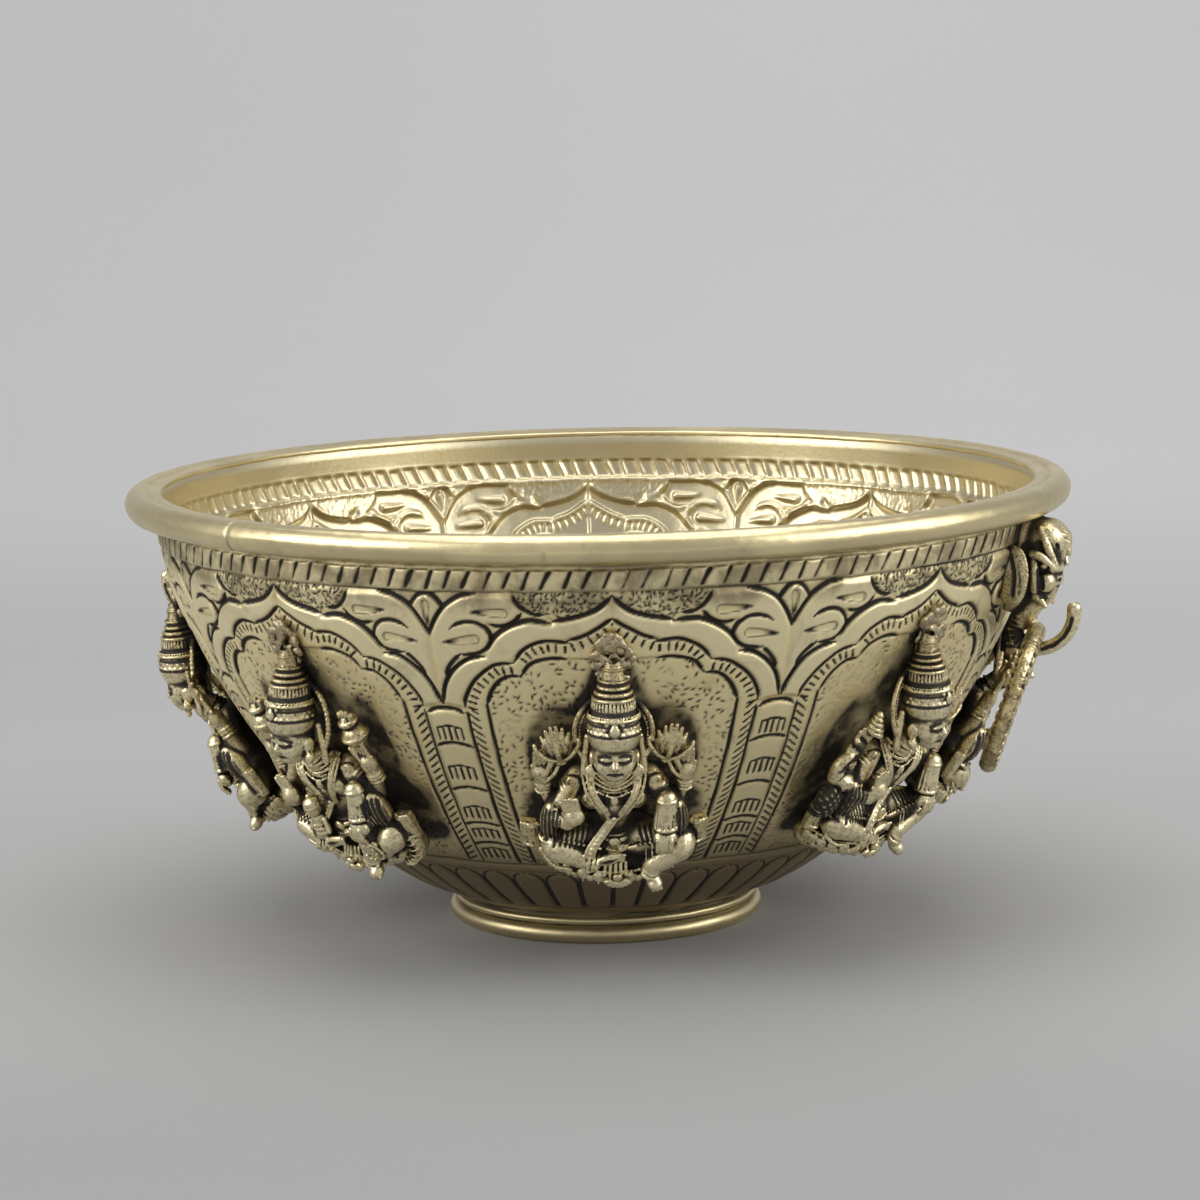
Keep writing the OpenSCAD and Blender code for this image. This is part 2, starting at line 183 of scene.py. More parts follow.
# The chased pattern. A place on the wall is its angle from the nearest arch's centre line
# and its height; strokes are worked out in millimetres from the nearest column's centre line.
OUTER_LINES = [
    [(0, 124.6), (1.2, 121.6), (2.6, 119.6), (4.8, 118.2), (7.2, 117.2)],
    [(7.3, 116.5), (9.8, 117.2), (11.3, 116.4), (12.8, 114.8), (14.2, 112.4), (15.6, 108.6)],
    [(15.8, 106.3), (17.6, 105.7), (19.2, 103.7), (20.4, 101.2), (21.3, 98.2), (21.9, 95.0), (22.4, 90.8)],
]
SECOND_LINES = [
    [(0, 117.8), (1.8, 114.9), (3.6, 112.6), (5.4, 111.3)],
    [(5.2, 110.7), (7.9, 111.2), (9.6, 110.0), (11.1, 107.8), (12.2, 104.7)],
    [(12.3, 104.4), (14.6, 103.5), (16.2, 101.2), (17.9, 97.6), (19.2, 92.8), (19.5, 89.6)],
]
THIRD_LINES = [
    [(5.5, 105.4), (7.3, 105.7), (9.1, 104.8), (10.4, 103.2), (11.4, 100.4)],
    [(11.5, 100.1), (13.2, 99.8), (14.5, 98.0), (15.6, 94.9), (16.4, 91.0)],
]
FLOWER_LINES = [
    [(23.0, 125.8), (22.2, 125.6), (21.5, 124.8), (20.9, 123.2), (20.4, 121.4)],
    [(22.5, 112.6), (22.1, 115.3), (21.2, 118.9), (20.2, 121.8), (19.1, 123.6), (17.9, 124.9), (16.3, 125.4)],
    [(11.9, 124.8), (11.4, 122.4), (10.6, 120.4), (9.4, 119.0), (8.2, 119.1)],
    [(10.9, 119.2), (11.7, 117.0), (12.8, 115.6), (13.9, 115.3), (14.9, 115.9)],
    [(19.8, 115.0), (19.0, 116.2), (17.7, 117.0), (16.4, 116.6), (15.5, 115.1), (15.0, 113.4),
     (14.8, 111.3), (15.4, 108.9), (16.6, 107.4), (18.1, 107.0), (18.9, 107.3)],
    [(18.9, 106.9), (19.9, 104.9), (20.7, 102.6), (21.1, 100.2)],
]
# Teardrops: dark point, rounded end, half width in millimetres
TEARDROPS = [((16.9, 119.9), (13.1, 119.3), 1.35), ((20.7, 110.8), (16.8, 111.6), 1.35),
             ((22.5, 115.8), (22.5, 122.4), 1.1)]
COLUMN_TOPS = (89.3, 78.0, 62.4, 49.9, 42.4)
TICK_ROWS = ((83.2, 78.9), (69.8, 65.2), (55.4, 51.3), (47.4, 44.0), (40.0, 36.4))
COLUMN_HALF, BORDER_TOP, BORDER_FOOT = 6.3, 13.4, 10.8
HATCH_LOW, HATCH_HIGH = 126.0, 132.5
HATCH_STROKES = 152
PETALS, PETAL_LOW, PETAL_HIGH, LEDGE_FOOT = 48, 14.5, 29.8, 34.0
ARCHES, ARCH_STEP, ARCH_HALF = 8, 45, 22.5
DEGREES = 57.3


def from_column(places):
    """Millimetres from the nearest column's centre line, and up the wall."""
    places = np.asarray(places, float)
    across = np.radians(ARCH_HALF - places[:, 0]) * wall_r(places[:, 1])
    return np.stack([across, along_wall(places[:, 1])], -1)


def eased(points, steps=6):
    """A smooth curve through the points."""
    ends = np.concatenate([[2 * points[0] - points[1]], points, [2 * points[-1] - points[-2]]])
    out = []
    for a, b, c, d in zip(ends[:-3], ends[1:-2], ends[2:-1], ends[3:]):
        t = np.linspace(0, 1, steps, endpoint=False)[:, None]
        bend, twist = 2 * a - 5 * b + 4 * c - d, 3 * b - a - 3 * c + d
        out.append(0.5 * (2 * b + (c - a) * t + bend * t**2 + twist * t**3))
    return np.concatenate(out + [points[-1:]])


def to_line(x, y, a, b):
    """Distance from places to the line from a to b, and the share of it at the nearest point."""
    ab = b - a
    t = np.clip(((x - a[0]) * ab[0] + (y - a[1]) * ab[1]) / max(ab @ ab, 1e-9), 0, 1)
    return np.hypot(x - a[0] - t * ab[0], y - a[1] - t * ab[1]), t


def to_curve(x, y, curve):
    """Distance from places to a curve, and the share of the curve's length at the nearest point."""
    best, share = np.full(x.shape, 1e9), np.zeros(x.shape)
    lengths = run_along(curve)
    for k in range(len(curve) - 1):
        d, t = to_line(x, y, curve[k], curve[k + 1])
        nearer = d < best
        best = np.where(nearer, d, best)
        share = np.where(nearer, (lengths[k] + t * (lengths[k + 1] - lengths[k])) / lengths[-1], share)
    return best, share


def inside_outline(x, y, outline):
    """Distance to a closed outline, negative inside."""
    closed = np.concatenate([outline, outline[:1]])
    best, odd = np.full(x.shape, 1e9), np.zeros(x.shape, bool)
    for a, b in zip(closed[:-1], closed[1:]):
        best = np.minimum(best, to_line(x, y, a, b)[0])
        if a[1] != b[1]:
            odd ^= ((a[1] > y) != (b[1] > y)) & (x < a[0] + (y - a[1]) * (b - a)[0] / (b - a)[1])
    return np.where(odd, -best, best)


class Chasing:
    """The height and the darkness that the chasing tools leave at each place of a grid."""

    def __init__(self, x, y, back):
        self.x, self.y = x, y
        self.wide, self.deep = (1.7, 1.9) if back else (1.15, 1.0)
        self.height, self.dark = np.zeros(x.shape), np.zeros(x.shape)

    def near(self, curve, reach):
        """The places of the grid that lie within reach of a curve's box."""
        (left, low), (right, high) = curve.min(0) - reach, curve.max(0) + reach
        return np.nonzero((self.x > left) & (self.x < right) & (self.y > low) & (self.y < high))

    def swell(self, outline, rise, shoulder):
        """Raises what lies inside an outline, with a rounded shoulder."""
        at = self.near(outline, shoulder)
        d = inside_outline(self.x[at], self.y[at], outline)
        self.height[at] = np.maximum(self.height[at], rise * smooth(0.35 * shoulder, -shoulder, d))

    def line(self, curve, width, depth, blunt=0.12):
        """A stroke of the chasing tool, thinner towards its ends."""
        width, depth = width * self.wide, depth * self.deep
        at = self.near(curve, 2.6)
        d, share = to_curve(self.x[at], self.y[at], curve)
        w = width * (0.35 + 0.65 * smooth(0, blunt, share) * smooth(0, blunt, 1 - share))
        self.height[at] -= depth * stripe(d, w) * np.minimum(1, w / width)
        self.dark[at] = np.maximum(self.dark[at], smooth(1.5, 0.6, d / w))

    def drop(self, tip, end, half):
        """A sunk teardrop, dark at its tip."""
        curve = np.array([tip, end])
        at = self.near(curve, half + 1)
        d, share = to_curve(self.x[at], self.y[at], curve)
        w = (half + 0.4 * (self.deep - 1)) * np.sqrt(np.clip(share * 1.15, 0.02, 1))
        sunk = smooth(w + 0.25, w - 0.35 * self.deep**2, d)
        self.height[at] -= 0.5 * self.deep**1.5 * sunk
        dark = np.maximum(0.75 * stripe(d - w, 0.3), sunk * smooth(0.62, 0.12, share))
        self.dark[at] = np.maximum(self.dark[at], dark)


def punched(x, y, pitch, keep, seed):
    """Small round punch marks scattered over a field, as depth from 0 to 1."""
    gx, gy = np.floor(x / pitch).astype(int), np.floor(y / pitch).astype(int)
    wide, tall = 97, 89
    table = np.random.default_rng(seed).random((5, wide, tall))
    best = np.zeros(x.shape)
    for ox in (-1, 0, 1):
        for oy in (-1, 0, 1):
            cell = (gx + ox) % wide, (gy + oy) % tall
            px = (gx + ox + 0.15 + 0.7 * table[0][cell]) * pitch
            py = (gy + oy + 0.15 + 0.7 * table[1][cell]) * pitch
            turn = table[2][cell] * math.pi
            dx, dy = x - px, y - py
            along = (dx * np.cos(turn) + dy * np.sin(turn)) / (0.62 + 0.5 * table[3][cell])
            over = (dy * np.cos(turn) - dx * np.sin(turn)) / 0.36
            mark = np.exp(-(along**2 + over**2)) * (table[4][cell] < keep)
            best = np.maximum(best, mark)
    return best


def chase_wall(angle, z, back=False):
    """Height in millimetres and darkness of the chased wall; back asks for its inner side."""
    turns = angle / (2 * math.pi)
    r, s = wall_r(z), along_wall(z)

    def veil(cells, up, rows, seed):
        return cloud(turns * cells, up, rows, cells, seed)

    shake = veil(144, s / 6, 32, 11) * 0.16 + veil(40, s / 22, 9, 12) * 0.22
    lift = veil(144, s / 6, 32, 13) * 0.22 + veil(40, s / 22, 9, 14) * 0.3
    degrees = np.degrees(angle) % ARCH_STEP - ARCH_HALF + shake * DEGREES / r
    x, y = np.radians(ARCH_HALF - np.abs(degrees)) * r, s + lift
    high = np.interp(y, profile_s, profile_z)
    work = Chasing(x, y, back)

    outer, second, third, flower = ([eased(from_column(stroke)) for stroke in group]
                                    for group in (OUTER_LINES, SECOND_LINES, THIRD_LINES, FLOWER_LINES))
    foot, column_y = along_wall(LEDGE_FOOT), along_wall(COLUMN_TOPS[0])

    def border(y_at):
        return BORDER_FOOT + (BORDER_TOP - BORDER_FOOT) * (y_at - foot) / (column_y - foot)

    work.swell(np.concatenate(outer + [stroke[::-1] for stroke in second[::-1]]), 0.95, 1.5)
    work.swell(np.concatenate(second + [third[1][::-1], third[0][::-1], from_column([(0, 105.2)])]), 0.5, 0.9)
    work.swell(np.concatenate([
        outer[2][::-1], from_column([(15.5, 108.5)]), flower[4][24:37][::-1], flower[3][::-1][:-1],
        from_column([(10.6, 120.4), (11.4, 122.4), (11.9, 124.8)]), flower[1][::-1],
        from_column([(22.5, 112.6), (22.5, 90.8)])]), 0.85, 1.5)
    work.swell(np.concatenate([from_column([(22.6, 125.8)]), flower[0], flower[1][20:5:-1],
                               from_column([(22.6, 113.5)])]), 0.8, 1.2)
    work.swell(np.concatenate([from_column([(0, 125.4)]), outer[0], flower[2][::-1]]), 0.45, 1.4)
    work.swell(np.array([[-1, foot], [COLUMN_HALF, foot], [COLUMN_HALF, column_y - 1.2], [-1, column_y]]),
               0.7, 1.8)
    work.swell(np.array([[COLUMN_HALF + 0.6, foot], [BORDER_FOOT - 0.4, foot], [BORDER_TOP - 0.4, column_y + 3],
                         [COLUMN_HALF + 1.6, column_y + 3]]), 0.4, 0.9)

    tools = (outer, 0.62, 0.6), (second, 0.55, 0.5), (third, 0.62, 0.55), (flower, 0.6, 0.55)
    for strokes, width, depth in tools:
        for stroke in strokes:
            work.line(stroke, width, depth)
    work.line(np.array([[border(column_y + 2), column_y + 2], [border(foot), foot]]), 0.48, 0.4, 0.02)
    work.line(np.array([[COLUMN_HALF + 0.5, column_y - 1], [COLUMN_HALF - 0.4, foot]]), 0.42, 0.35, 0.02)
    for tip, end, half in TEARDROPS:
        tip, end = from_column([tip, end])
        work.drop(tip, end, half)

    for top in COLUMN_TOPS:
        at = along_wall(top)
        work.line(eased(np.array([[-5.9, at - 1.7], [-3.2, at - 0.4], [0, at], [3.2, at - 0.4],
                                  [5.9, at - 1.7]])), 0.55, 0.5)
    for top, low in TICK_ROWS:
        at, end = along_wall(top), along_wall(low)
        work.line(eased(np.array([[-4.4, at - 0.5], [0, at + 0.5], [4.4, at - 0.5]])), 0.36, 0.22)
        for across in (-3.9, -1.95, 0.0, 1.95, 3.9):
            work.line(np.array([[across, at + 0.1], [across * 0.96 + 0.1, end]]), 0.34, 0.35)
    for k in range(27):
        at = foot + 2.5 + k * 2.75
        if at < column_y + 2:
            work.line(np.array([[COLUMN_HALF + 1.0, at + 1.2], [COLUMN_HALF + 4.0, at - 1.4]]), 0.32, 0.3)
    for stroke in second:
        lengths = run_along(stroke)
        for at in np.arange(1.2, lengths[-1], 2.7):
            p = place_on(stroke, lengths, at)
            run = place_on(stroke, lengths, at + 0.3) - p
            run = run / max(1e-6, np.hypot(*run))
            inward = np.array([-run[1], run[0]])
            if inward[1] > 0.3 or (abs(inward[1]) <= 0.3 and inward[0] < 0):
                inward = -inward
            work.line(np.array([p + 1.0 * inward, p + 3.6 * inward]), 0.36, 0.35)

    height, dark = work.height, work.dark
    # stippled ground inside each arch and in the half leaves beside its point
    arch = inside_outline(x, y, np.concatenate([
        third[0], third[1], [[border(column_y), column_y], [border(foot), foot]],
        from_column([(0, 34.0), (0, 106.0)])]))
    crescent = inside_outline(x, y, np.concatenate([
        from_column([(0, 126.2), (0, 124.8)]), outer[0], flower[2][::-1], from_column([(12, 126.2)])]))
    marks = punched(degrees / DEGREES * r, y, 2.0, 0.62, 21)
    fine = punched(degrees / DEGREES * r + 500, y, 1.35, 0.8, 22)
    patch = smooth(-0.35, 0.35, veil(120, s / 9, 22, 15))
    ground = smooth(0.3, -0.8, arch) * (0.35 + 0.65 * patch)
    leaf = smooth(0.2, -0.9, crescent)
    height -= 0.3 * ground * marks + 0.35 * leaf * fine + back * 1.1 * smooth(0.3, -2.0, crescent)
    dark = np.maximum(dark, np.maximum(1.2 * ground * marks**1.2, 1.2 * leaf * fine**1.1))

    # hatched band under the rim
    band = smooth(HATCH_LOW - 0.5, HATCH_LOW + 0.5, high) * smooth(HATCH_HIGH + 0.4, HATCH_HIGH - 0.4, high)
    slant = (turns * HATCH_STROKES - (high - HATCH_LOW) * 0.075 + 0.10 * veil(HATCH_STROKES, 0 * s, 2, 16)) % 1
    gap = np.minimum(slant, 1 - slant) * 2 * math.pi * r / HATCH_STROKES
    within = smooth(HATCH_LOW + 0.3, HATCH_LOW + 1.2, high) * smooth(HATCH_HIGH + 0.2, HATCH_HIGH - 0.8, high)
    uneven = veil(HATCH_STROKES, s / 3, 60, 17)
    groove = stripe(gap, 0.85 if back else 0.6 + 0.2 * uneven) * within * (0.75 + 0.25 * uneven)
    height = (height * (1 - band) + band * (0.55 + 0.1 * smooth(0.4, 2.4, gap))
              - (0.9 if back else 0.45) * groove)
    dark = np.maximum(dark * (1 - band), 1.6 * groove)
    lower, upper = stripe(high - HATCH_LOW + 0.2, 0.75 if back else 0.38), stripe(high - WALL_TOP, 0.75)
    height -= (0.9 if back else 0.3) * lower + 0.25 * stripe(high - HATCH_HIGH - 0.1, 0.35)
    dark = np.maximum(dark, np.maximum(lower * (0.75 + 0.45 * veil(60, 0 * s, 2, 18)), upper))

    # double line over the petals, and the petals
    ledge = smooth(30.6, 31.4, high) * smooth(33.8, 33.0, high)
    below = smooth(LEDGE_FOOT, 33.0, high)
    height = height * (1 - below) + 0.5 * ledge
    dark = dark * (1 - below)
    for at in (30.7, 33.7):
        ring = stripe(high - at, 0.34)
        height -= 0.25 * ring
        dark = np.maximum(dark, 0.75 * ring)
    petal = (turns * PETALS + 0.06 * veil(PETALS, s / 30, 5, 19)) % 1 - 0.5
    half = math.pi * r / PETALS
    tall = (high - PETAL_LOW) / (PETAL_HIGH - PETAL_LOW)
    round_top = np.sqrt(np.clip(1 - np.clip((tall - 0.72) / 0.28, 0, 1) ** 2, 0, 1))
    edge = np.abs(petal) * 2 * half - half * (0.06 + 0.94 * round_top) + 0.35
    body = smooth(0.3, -1.6, edge) * smooth(-0.02, 0.05, tall) * smooth(1.02, 0.98, tall)
    seam = stripe(np.minimum(np.abs(edge), 9), 0.55) * smooth(-0.02, 0.04, tall) * smooth(1.03, 0.99, tall)
    height += 0.6 * body * (high < 31) - 0.25 * seam
    dark = np.maximum(dark, seam * (high < 31))
    ring = stripe(high - PETAL_LOW + 0.6, 0.4)
    height -= 0.25 * ring
    dark = np.maximum(dark, 0.7 * ring)
    hammer = 0.05 * veil(110, s / 8, 24, 23) + 0.03 * veil(260, s / 3.4, 56, 24)
    return height + hammer, dark


# Cast work is modelled like clay on a fine grid of distances, then turned into a skin
CARVE_REACH = 1.5


def about_x(a):
    return np.array([[1, 0, 0], [0, np.cos(a), -np.sin(a)], [0, np.sin(a), np.cos(a)]])


def about_y(a):
    return np.array([[np.cos(a), 0, np.sin(a)], [0, 1, 0], [-np.sin(a), 0, np.cos(a)]])


def about_z(a):
    return np.array([[np.cos(a), -np.sin(a), 0], [np.sin(a), np.cos(a), 0], [0, 0, 1]])


class Clay:
    """A block of distances in millimetres, x to the viewer's right, y up and z out from the wall.

    Each form is joined to what is there with a rounded seam as wide as blend, or carved out of it.
    """

    REACH = 5.0

    def __init__(self, low, high, voxel):
        self.voxel = voxel
        self.low = np.asarray(low, float)
        self.size = np.ceil((np.asarray(high, float) - self.low) / voxel).astype(int) + 1
        self.field = np.full(self.size, self.REACH + 1, np.float32)
        self.axes = [self.low[k] + voxel * np.arange(self.size[k]) for k in range(3)]
        self.ink = np.zeros(self.size, np.float32)
        self.turn, self.pivot, self.side = np.eye(3), np.zeros(3), 1

    def turned(self, degrees, pivot=(0, 0, 0), nod=0):
        """What is added next is turned about the upright through pivot and nodded."""
        self.turn = about_y(np.radians(degrees)) @ about_x(np.radians(nod))
        self.pivot = np.asarray(pivot, float)

    def sides(self):
        """Runs a loop twice: first what it adds is mirrored to the left, then it stays on the right."""
        for self.side in (-1, 1):
            yield self.side

    def at(self, p):
        return self.turn @ (np.asarray(p, float) * [self.side, 1, 1] - self.pivot) + self.pivot

    def block(self, low, high):
        """The part of the grid between two corners, as slices and as places."""
        first = np.clip(np.floor((low - self.low) / self.voxel).astype(int), 0, self.size)
        last = np.clip(np.ceil((high - self.low) / self.voxel).astype(int) + 1, 0, self.size)
        cut = tuple(slice(f, l) for f, l in zip(first, last))
        return cut, np.ix_(*(axis[c] for axis, c in zip(self.axes, cut)))

    def local(self, at, size, spin, carve, beyond=None):
        """The grid near a place, and how far it lies from there along the axes of a form with that spin."""
        c = self.at(at)
        a, b, g = np.radians(spin) * [1, self.side, self.side]
        way = self.turn @ about_z(g) @ about_y(b) @ about_x(a)
        reach = size + (CARVE_REACH if carve else beyond or self.REACH)
        cut, (x, y, z) = self.block(c - reach, c + reach)
        return cut, [(x - c[0]) * way[0, k] + (y - c[1]) * way[1, k] + (z - c[2]) * way[2, k] for k in range(3)]

    def join(self, cut, distance, blend, carve=False, inked=True):
        """Adds a form or carves it out; a carved line is inked, as soot stays in it."""
        was = self.field[cut]
        if carve and inked:
            self.ink[cut] = np.maximum(self.ink[cut], smooth(0.5, 0.0, distance))
        if carve:
            distance, blend = -distance, -blend
        gap = np.clip(0.5 + 0.5 * (was - distance) / blend, 0, 1)
        self.field[cut] = was * (1 - gap) + distance * gap - blend * gap * (1 - gap)

    def limb(self, a, b, ra, rb, blend=0.5, carve=False):
        """A round limb from a to b, with a radius at each end."""
        a, b = self.at(a), self.at(b)
        reach = max(ra, rb) + (CARVE_REACH if carve else self.REACH)
        cut, (x, y, z) = self.block(np.minimum(a, b) - reach, np.maximum(a, b) + reach)
        ab = b - a
        x, y, z = x - a[0], y - a[1], z - a[2]
        t = np.clip((x * ab[0] + y * ab[1] + z * ab[2]) / max(ab @ ab, 1e-9), 0, 1)
        d = np.sqrt((x - t * ab[0]) ** 2 + (y - t * ab[1]) ** 2 + (z - t * ab[2]) ** 2)
        self.join(cut, d - (ra + (rb - ra) * t), blend, carve)

    def rope(self, points, r, blend, steps=0, carve=False):
        """Limbs from point to point, eased into a curve if steps are given; r is one radius or several."""
        points = [np.asarray(p, float) for p in points]
        if steps:
            points = list(eased(np.array(points), steps))
        ends = np.ravel(r)
        radii = np.interp(np.linspace(0, 1, len(points)), np.linspace(0, 1, len(ends)), ends)
        for a, b, ra, rb in zip(points[:-1], points[1:], radii[:-1], radii[1:]):
            self.limb(a, b, ra, rb, blend, carve)

    def beads(self, points, r, spacing, steps=6):
        """A string of round beads along a curve."""
        curve = eased(np.array(points, float), steps)
        lengths = np.concatenate([[0], np.cumsum(np.linalg.norm(np.diff(curve, axis=0), axis=1))])
        for at in np.linspace(0, lengths[-1], max(2, int(lengths[-1] / spacing) + 1)):
            p = place_on(curve, lengths, at)
            self.limb(p, p, r, r, 0.15)

    def ball(self, at, radii, blend, spin=(0, 0, 0), carve=False):
        """A ball or an egg; spin turns it about x, then y, then z."""
        radii = np.broadcast_to(np.asarray(radii, float), 3)
        cut, p = self.local(at, radii.max(), spin, carve)
        near = np.sqrt(sum((q / r) ** 2 for q, r in zip(p, radii)))
        steep = np.sqrt(sum((q / r**2) ** 2 for q, r in zip(p, radii)))
        self.join(cut, near * (near - 1) / np.maximum(steep, 1e-6), blend, carve, inked=False)

    def hoop(self, at, ring_r, rod_r, blend, tip=(0, 0, 0), squash=1.0, carve=False):
        """A ring whose axis is y before it is tipped; squash stretches its rod along the axis."""
        cut, p = self.local(at, ring_r + rod_r, tip, carve, 3.0)
        d = np.hypot(np.hypot(p[0], p[2]) - ring_r, p[1] / squash) - rod_r
        self.join(cut, d, blend, carve)

    def slab(self, at, half, blend, spin, rounding=0.3):
        """A block with rounded edges, of which half gives half the size."""
        half = np.asarray(half, float) - rounding
        cut, p = self.local(at, np.linalg.norm(half), spin, False)
        q = [np.abs(v) - h for v, h in zip(p, half)]
        outside = np.sqrt(sum(np.maximum(v, 0) ** 2 for v in q))
        self.join(cut, outside + np.minimum(np.maximum(q[0], np.maximum(q[1], q[2])), 0) - rounding, blend)

    def pleats(self, low, high, way, pitch, depth=0.45):
        """Grooves across a region, which runs from low to high; way is the direction that crosses them."""
        ends = np.sort(np.array([low, high], float) * [self.side, 1, 1], axis=0)
        cut, (x, y, z) = self.block(*ends)
        x = x * self.side
        way = np.asarray(way, float) / np.linalg.norm(way)
        s = (x * way[0] + y * way[1] + z * way[2]) / pitch
        groove = stripe(np.abs(s - np.round(s)) * pitch, 0.36)
        for axis, lo, hi in zip((x, y, z), low, high):
            groove = groove * smooth(0, 0.8, axis - lo) * smooth(0, 0.8, hi - axis)
        self.field[cut] += (depth * groove).astype(np.float32)
        self.ink[cut] = np.maximum(self.ink[cut], groove)

    def skin(self, grain, seed, solid=None):
        """Points, four-sided faces and how hidden each point is, of the surface where the distance is zero; how
        hidden a point is becomes painted shade, laid with the patina of its hollows.
        """
        rough = np.random.default_rng(seed).uniform(-1, 1, self.field.shape).astype(np.float32)
        f = self.field + grain * box_mean(rough, 1) * 3
        inside = f < 0
        corners = [(i, j, k) for i in (0, 1) for j in (0, 1) for k in (0, 1)]
        view = {c: tuple(slice(o, n - 1 + o) for o, n in zip(c, f.shape)) for c in corners}
        count = sum(inside[view[c]].astype(np.int8) for c in corners)
        cells = np.argwhere((count > 0) & (count < 8))
        number = np.full(count.shape, -1, np.int32)
        number[tuple(cells.T)] = np.arange(len(cells))
        values = {c: f[tuple((cells + c).T)] for c in corners}
        total, hits = np.zeros((len(cells), 3)), np.zeros(len(cells))
        for c in corners:
            for k in range(3):
                if c[k] == 0:
                    d = tuple(v + (1 if n == k else 0) for n, v in enumerate(c))
                    a, b = values[c], values[d]
                    crosses = (a < 0) != (b < 0)
                    t = np.where(crosses, a / np.where(crosses, a - b, 1), 0)
                    place = np.array(c, float)[None, :] + t[:, None] * (np.arange(3) == k)
                    total += place * crosses[:, None]
                    hits += crosses
        points = self.low + (cells + total / hits[:, None]) * self.voxel
        quads = []
        for k in range(3):
            a = tuple(slice(0 if n == k else 1, -1) for n in range(3))
            b = tuple(slice(1, None) if n == k else slice(1, -1) for n in range(3))
            ends = inside[a], inside[b]
            edges = np.argwhere(ends[0] != ends[1])
            rising = ends[0][tuple(edges.T)]
            edges = edges + np.array([0 if n == k else 1 for n in range(3)])
            m, n = [v for v in range(3) if v != k]
            step_m, step_n = np.eye(3, dtype=int)[m], np.eye(3, dtype=int)[n]
            quad = np.stack([number[tuple((edges - i * step_m - j * step_n).T)]
                             for i, j in ((1, 1), (0, 1), (0, 0), (1, 0))], -1)
            flip = rising if k != 1 else ~rising
            quad[~flip] = quad[~flip][:, ::-1]
            quads.append(quad[(quad >= 0).all(1)])
        solid = ((self.field < 0) if solid is None else solid).astype(np.float32)
        # painted shade: a point with much solid round it, in a recess or close to the wall, is darkened
        hidden = np.zeros(len(points))
        for reach, open_at, shut_at in ((0.8, 0.50, 0.64), (2.2, 0.43, 0.60), (4.2, 0.42, 0.58)):
            occlusion = self.sample(box_mean(solid, max(1, round(reach / self.voxel)), 2), points)
            hidden = np.maximum(hidden, smooth(open_at, shut_at, occlusion))
        return points, np.concatenate(quads), np.maximum(hidden, self.sample(self.ink, points))

    def sample(self, field, points):
        """Values of a field of the block at points between its cells."""
        at = (points - self.low) / self.voxel
        first = np.clip(np.floor(at).astype(int), 0, np.array(field.shape) - 2)
        part = np.clip(at - first, 0, 1)
        out = 0
        for i in (0, 1):
            for j in (0, 1):
                for k in (0, 1):
                    weight = (np.abs(1 - i - part[:, 0]) * np.abs(1 - j - part[:, 1])
                              * np.abs(1 - k - part[:, 2]))
                    out = out + weight * field[first[:, 0] + i, first[:, 1] + j, first[:, 2] + k]
        return out


def box_mean(field, reach, times=1):
    """Mean of a field over a cube of reach cells each way."""
    for _ in range(times):
        for axis in range(3):
            padded = np.concatenate([np.repeat(np.take(field, [0], axis), reach + 1, axis), field,
                                     np.repeat(np.take(field, [-1], axis), reach, axis)], axis)
            total = np.cumsum(padded, axis, dtype=np.float32)
            cells, width = np.arange(field.shape[axis]), 2 * reach + 1
            field = (np.take(total, cells + width, axis) - np.take(total, cells, axis)) / width
    return field


# The figures. Each is modelled upright in its own block and then laid against the wall
figure_out = float(wall_r(CROWN_Z) - wall_r(FIGURE_Z))
lean = math.atan2(figure_out, CROWN_Z - FIGURE_Z)


def on_wall(points, azimuth):
    """Points of a figure's block, moved to their place on the bowl."""
    x, y, z = np.asarray(points, float).T
    out = wall_r(FIGURE_Z) + z * math.cos(lean) + y * math.sin(lean)
    up = FIGURE_Z - z * math.sin(lean) + y * math.cos(lean)
    a = math.radians(azimuth)
    return np.stack([out * math.cos(a) - x * math.sin(a), out * math.sin(a) + x * math.cos(a), up], -1)


def off_wall(points, azimuth):
    """The reverse of on_wall."""
    a = math.radians(azimuth)
    px, py, up = np.asarray(points, float).T
    out = px * math.cos(a) + py * math.sin(a) - wall_r(FIGURE_Z)
    up = up - FIGURE_Z
    return np.stack([py * math.cos(a) - px * math.sin(a), out * math.sin(lean) + up * math.cos(lean),
                     out * math.cos(lean) - up * math.sin(lean)], -1)


def wall_gap(clay):
    """Distance from each place of a figure's block to the wall's outer face."""
    x, y, z = np.ix_(*clay.axes)
    out = wall_r(FIGURE_Z) + z * math.cos(lean) + y * math.sin(lean)
    up = FIGURE_Z - z * math.sin(lean) + y * math.cos(lean)
    return ((np.hypot(out, x) - wall_r(up)) * np.interp(up, profile_z, profile_nr)).astype(np.float32)


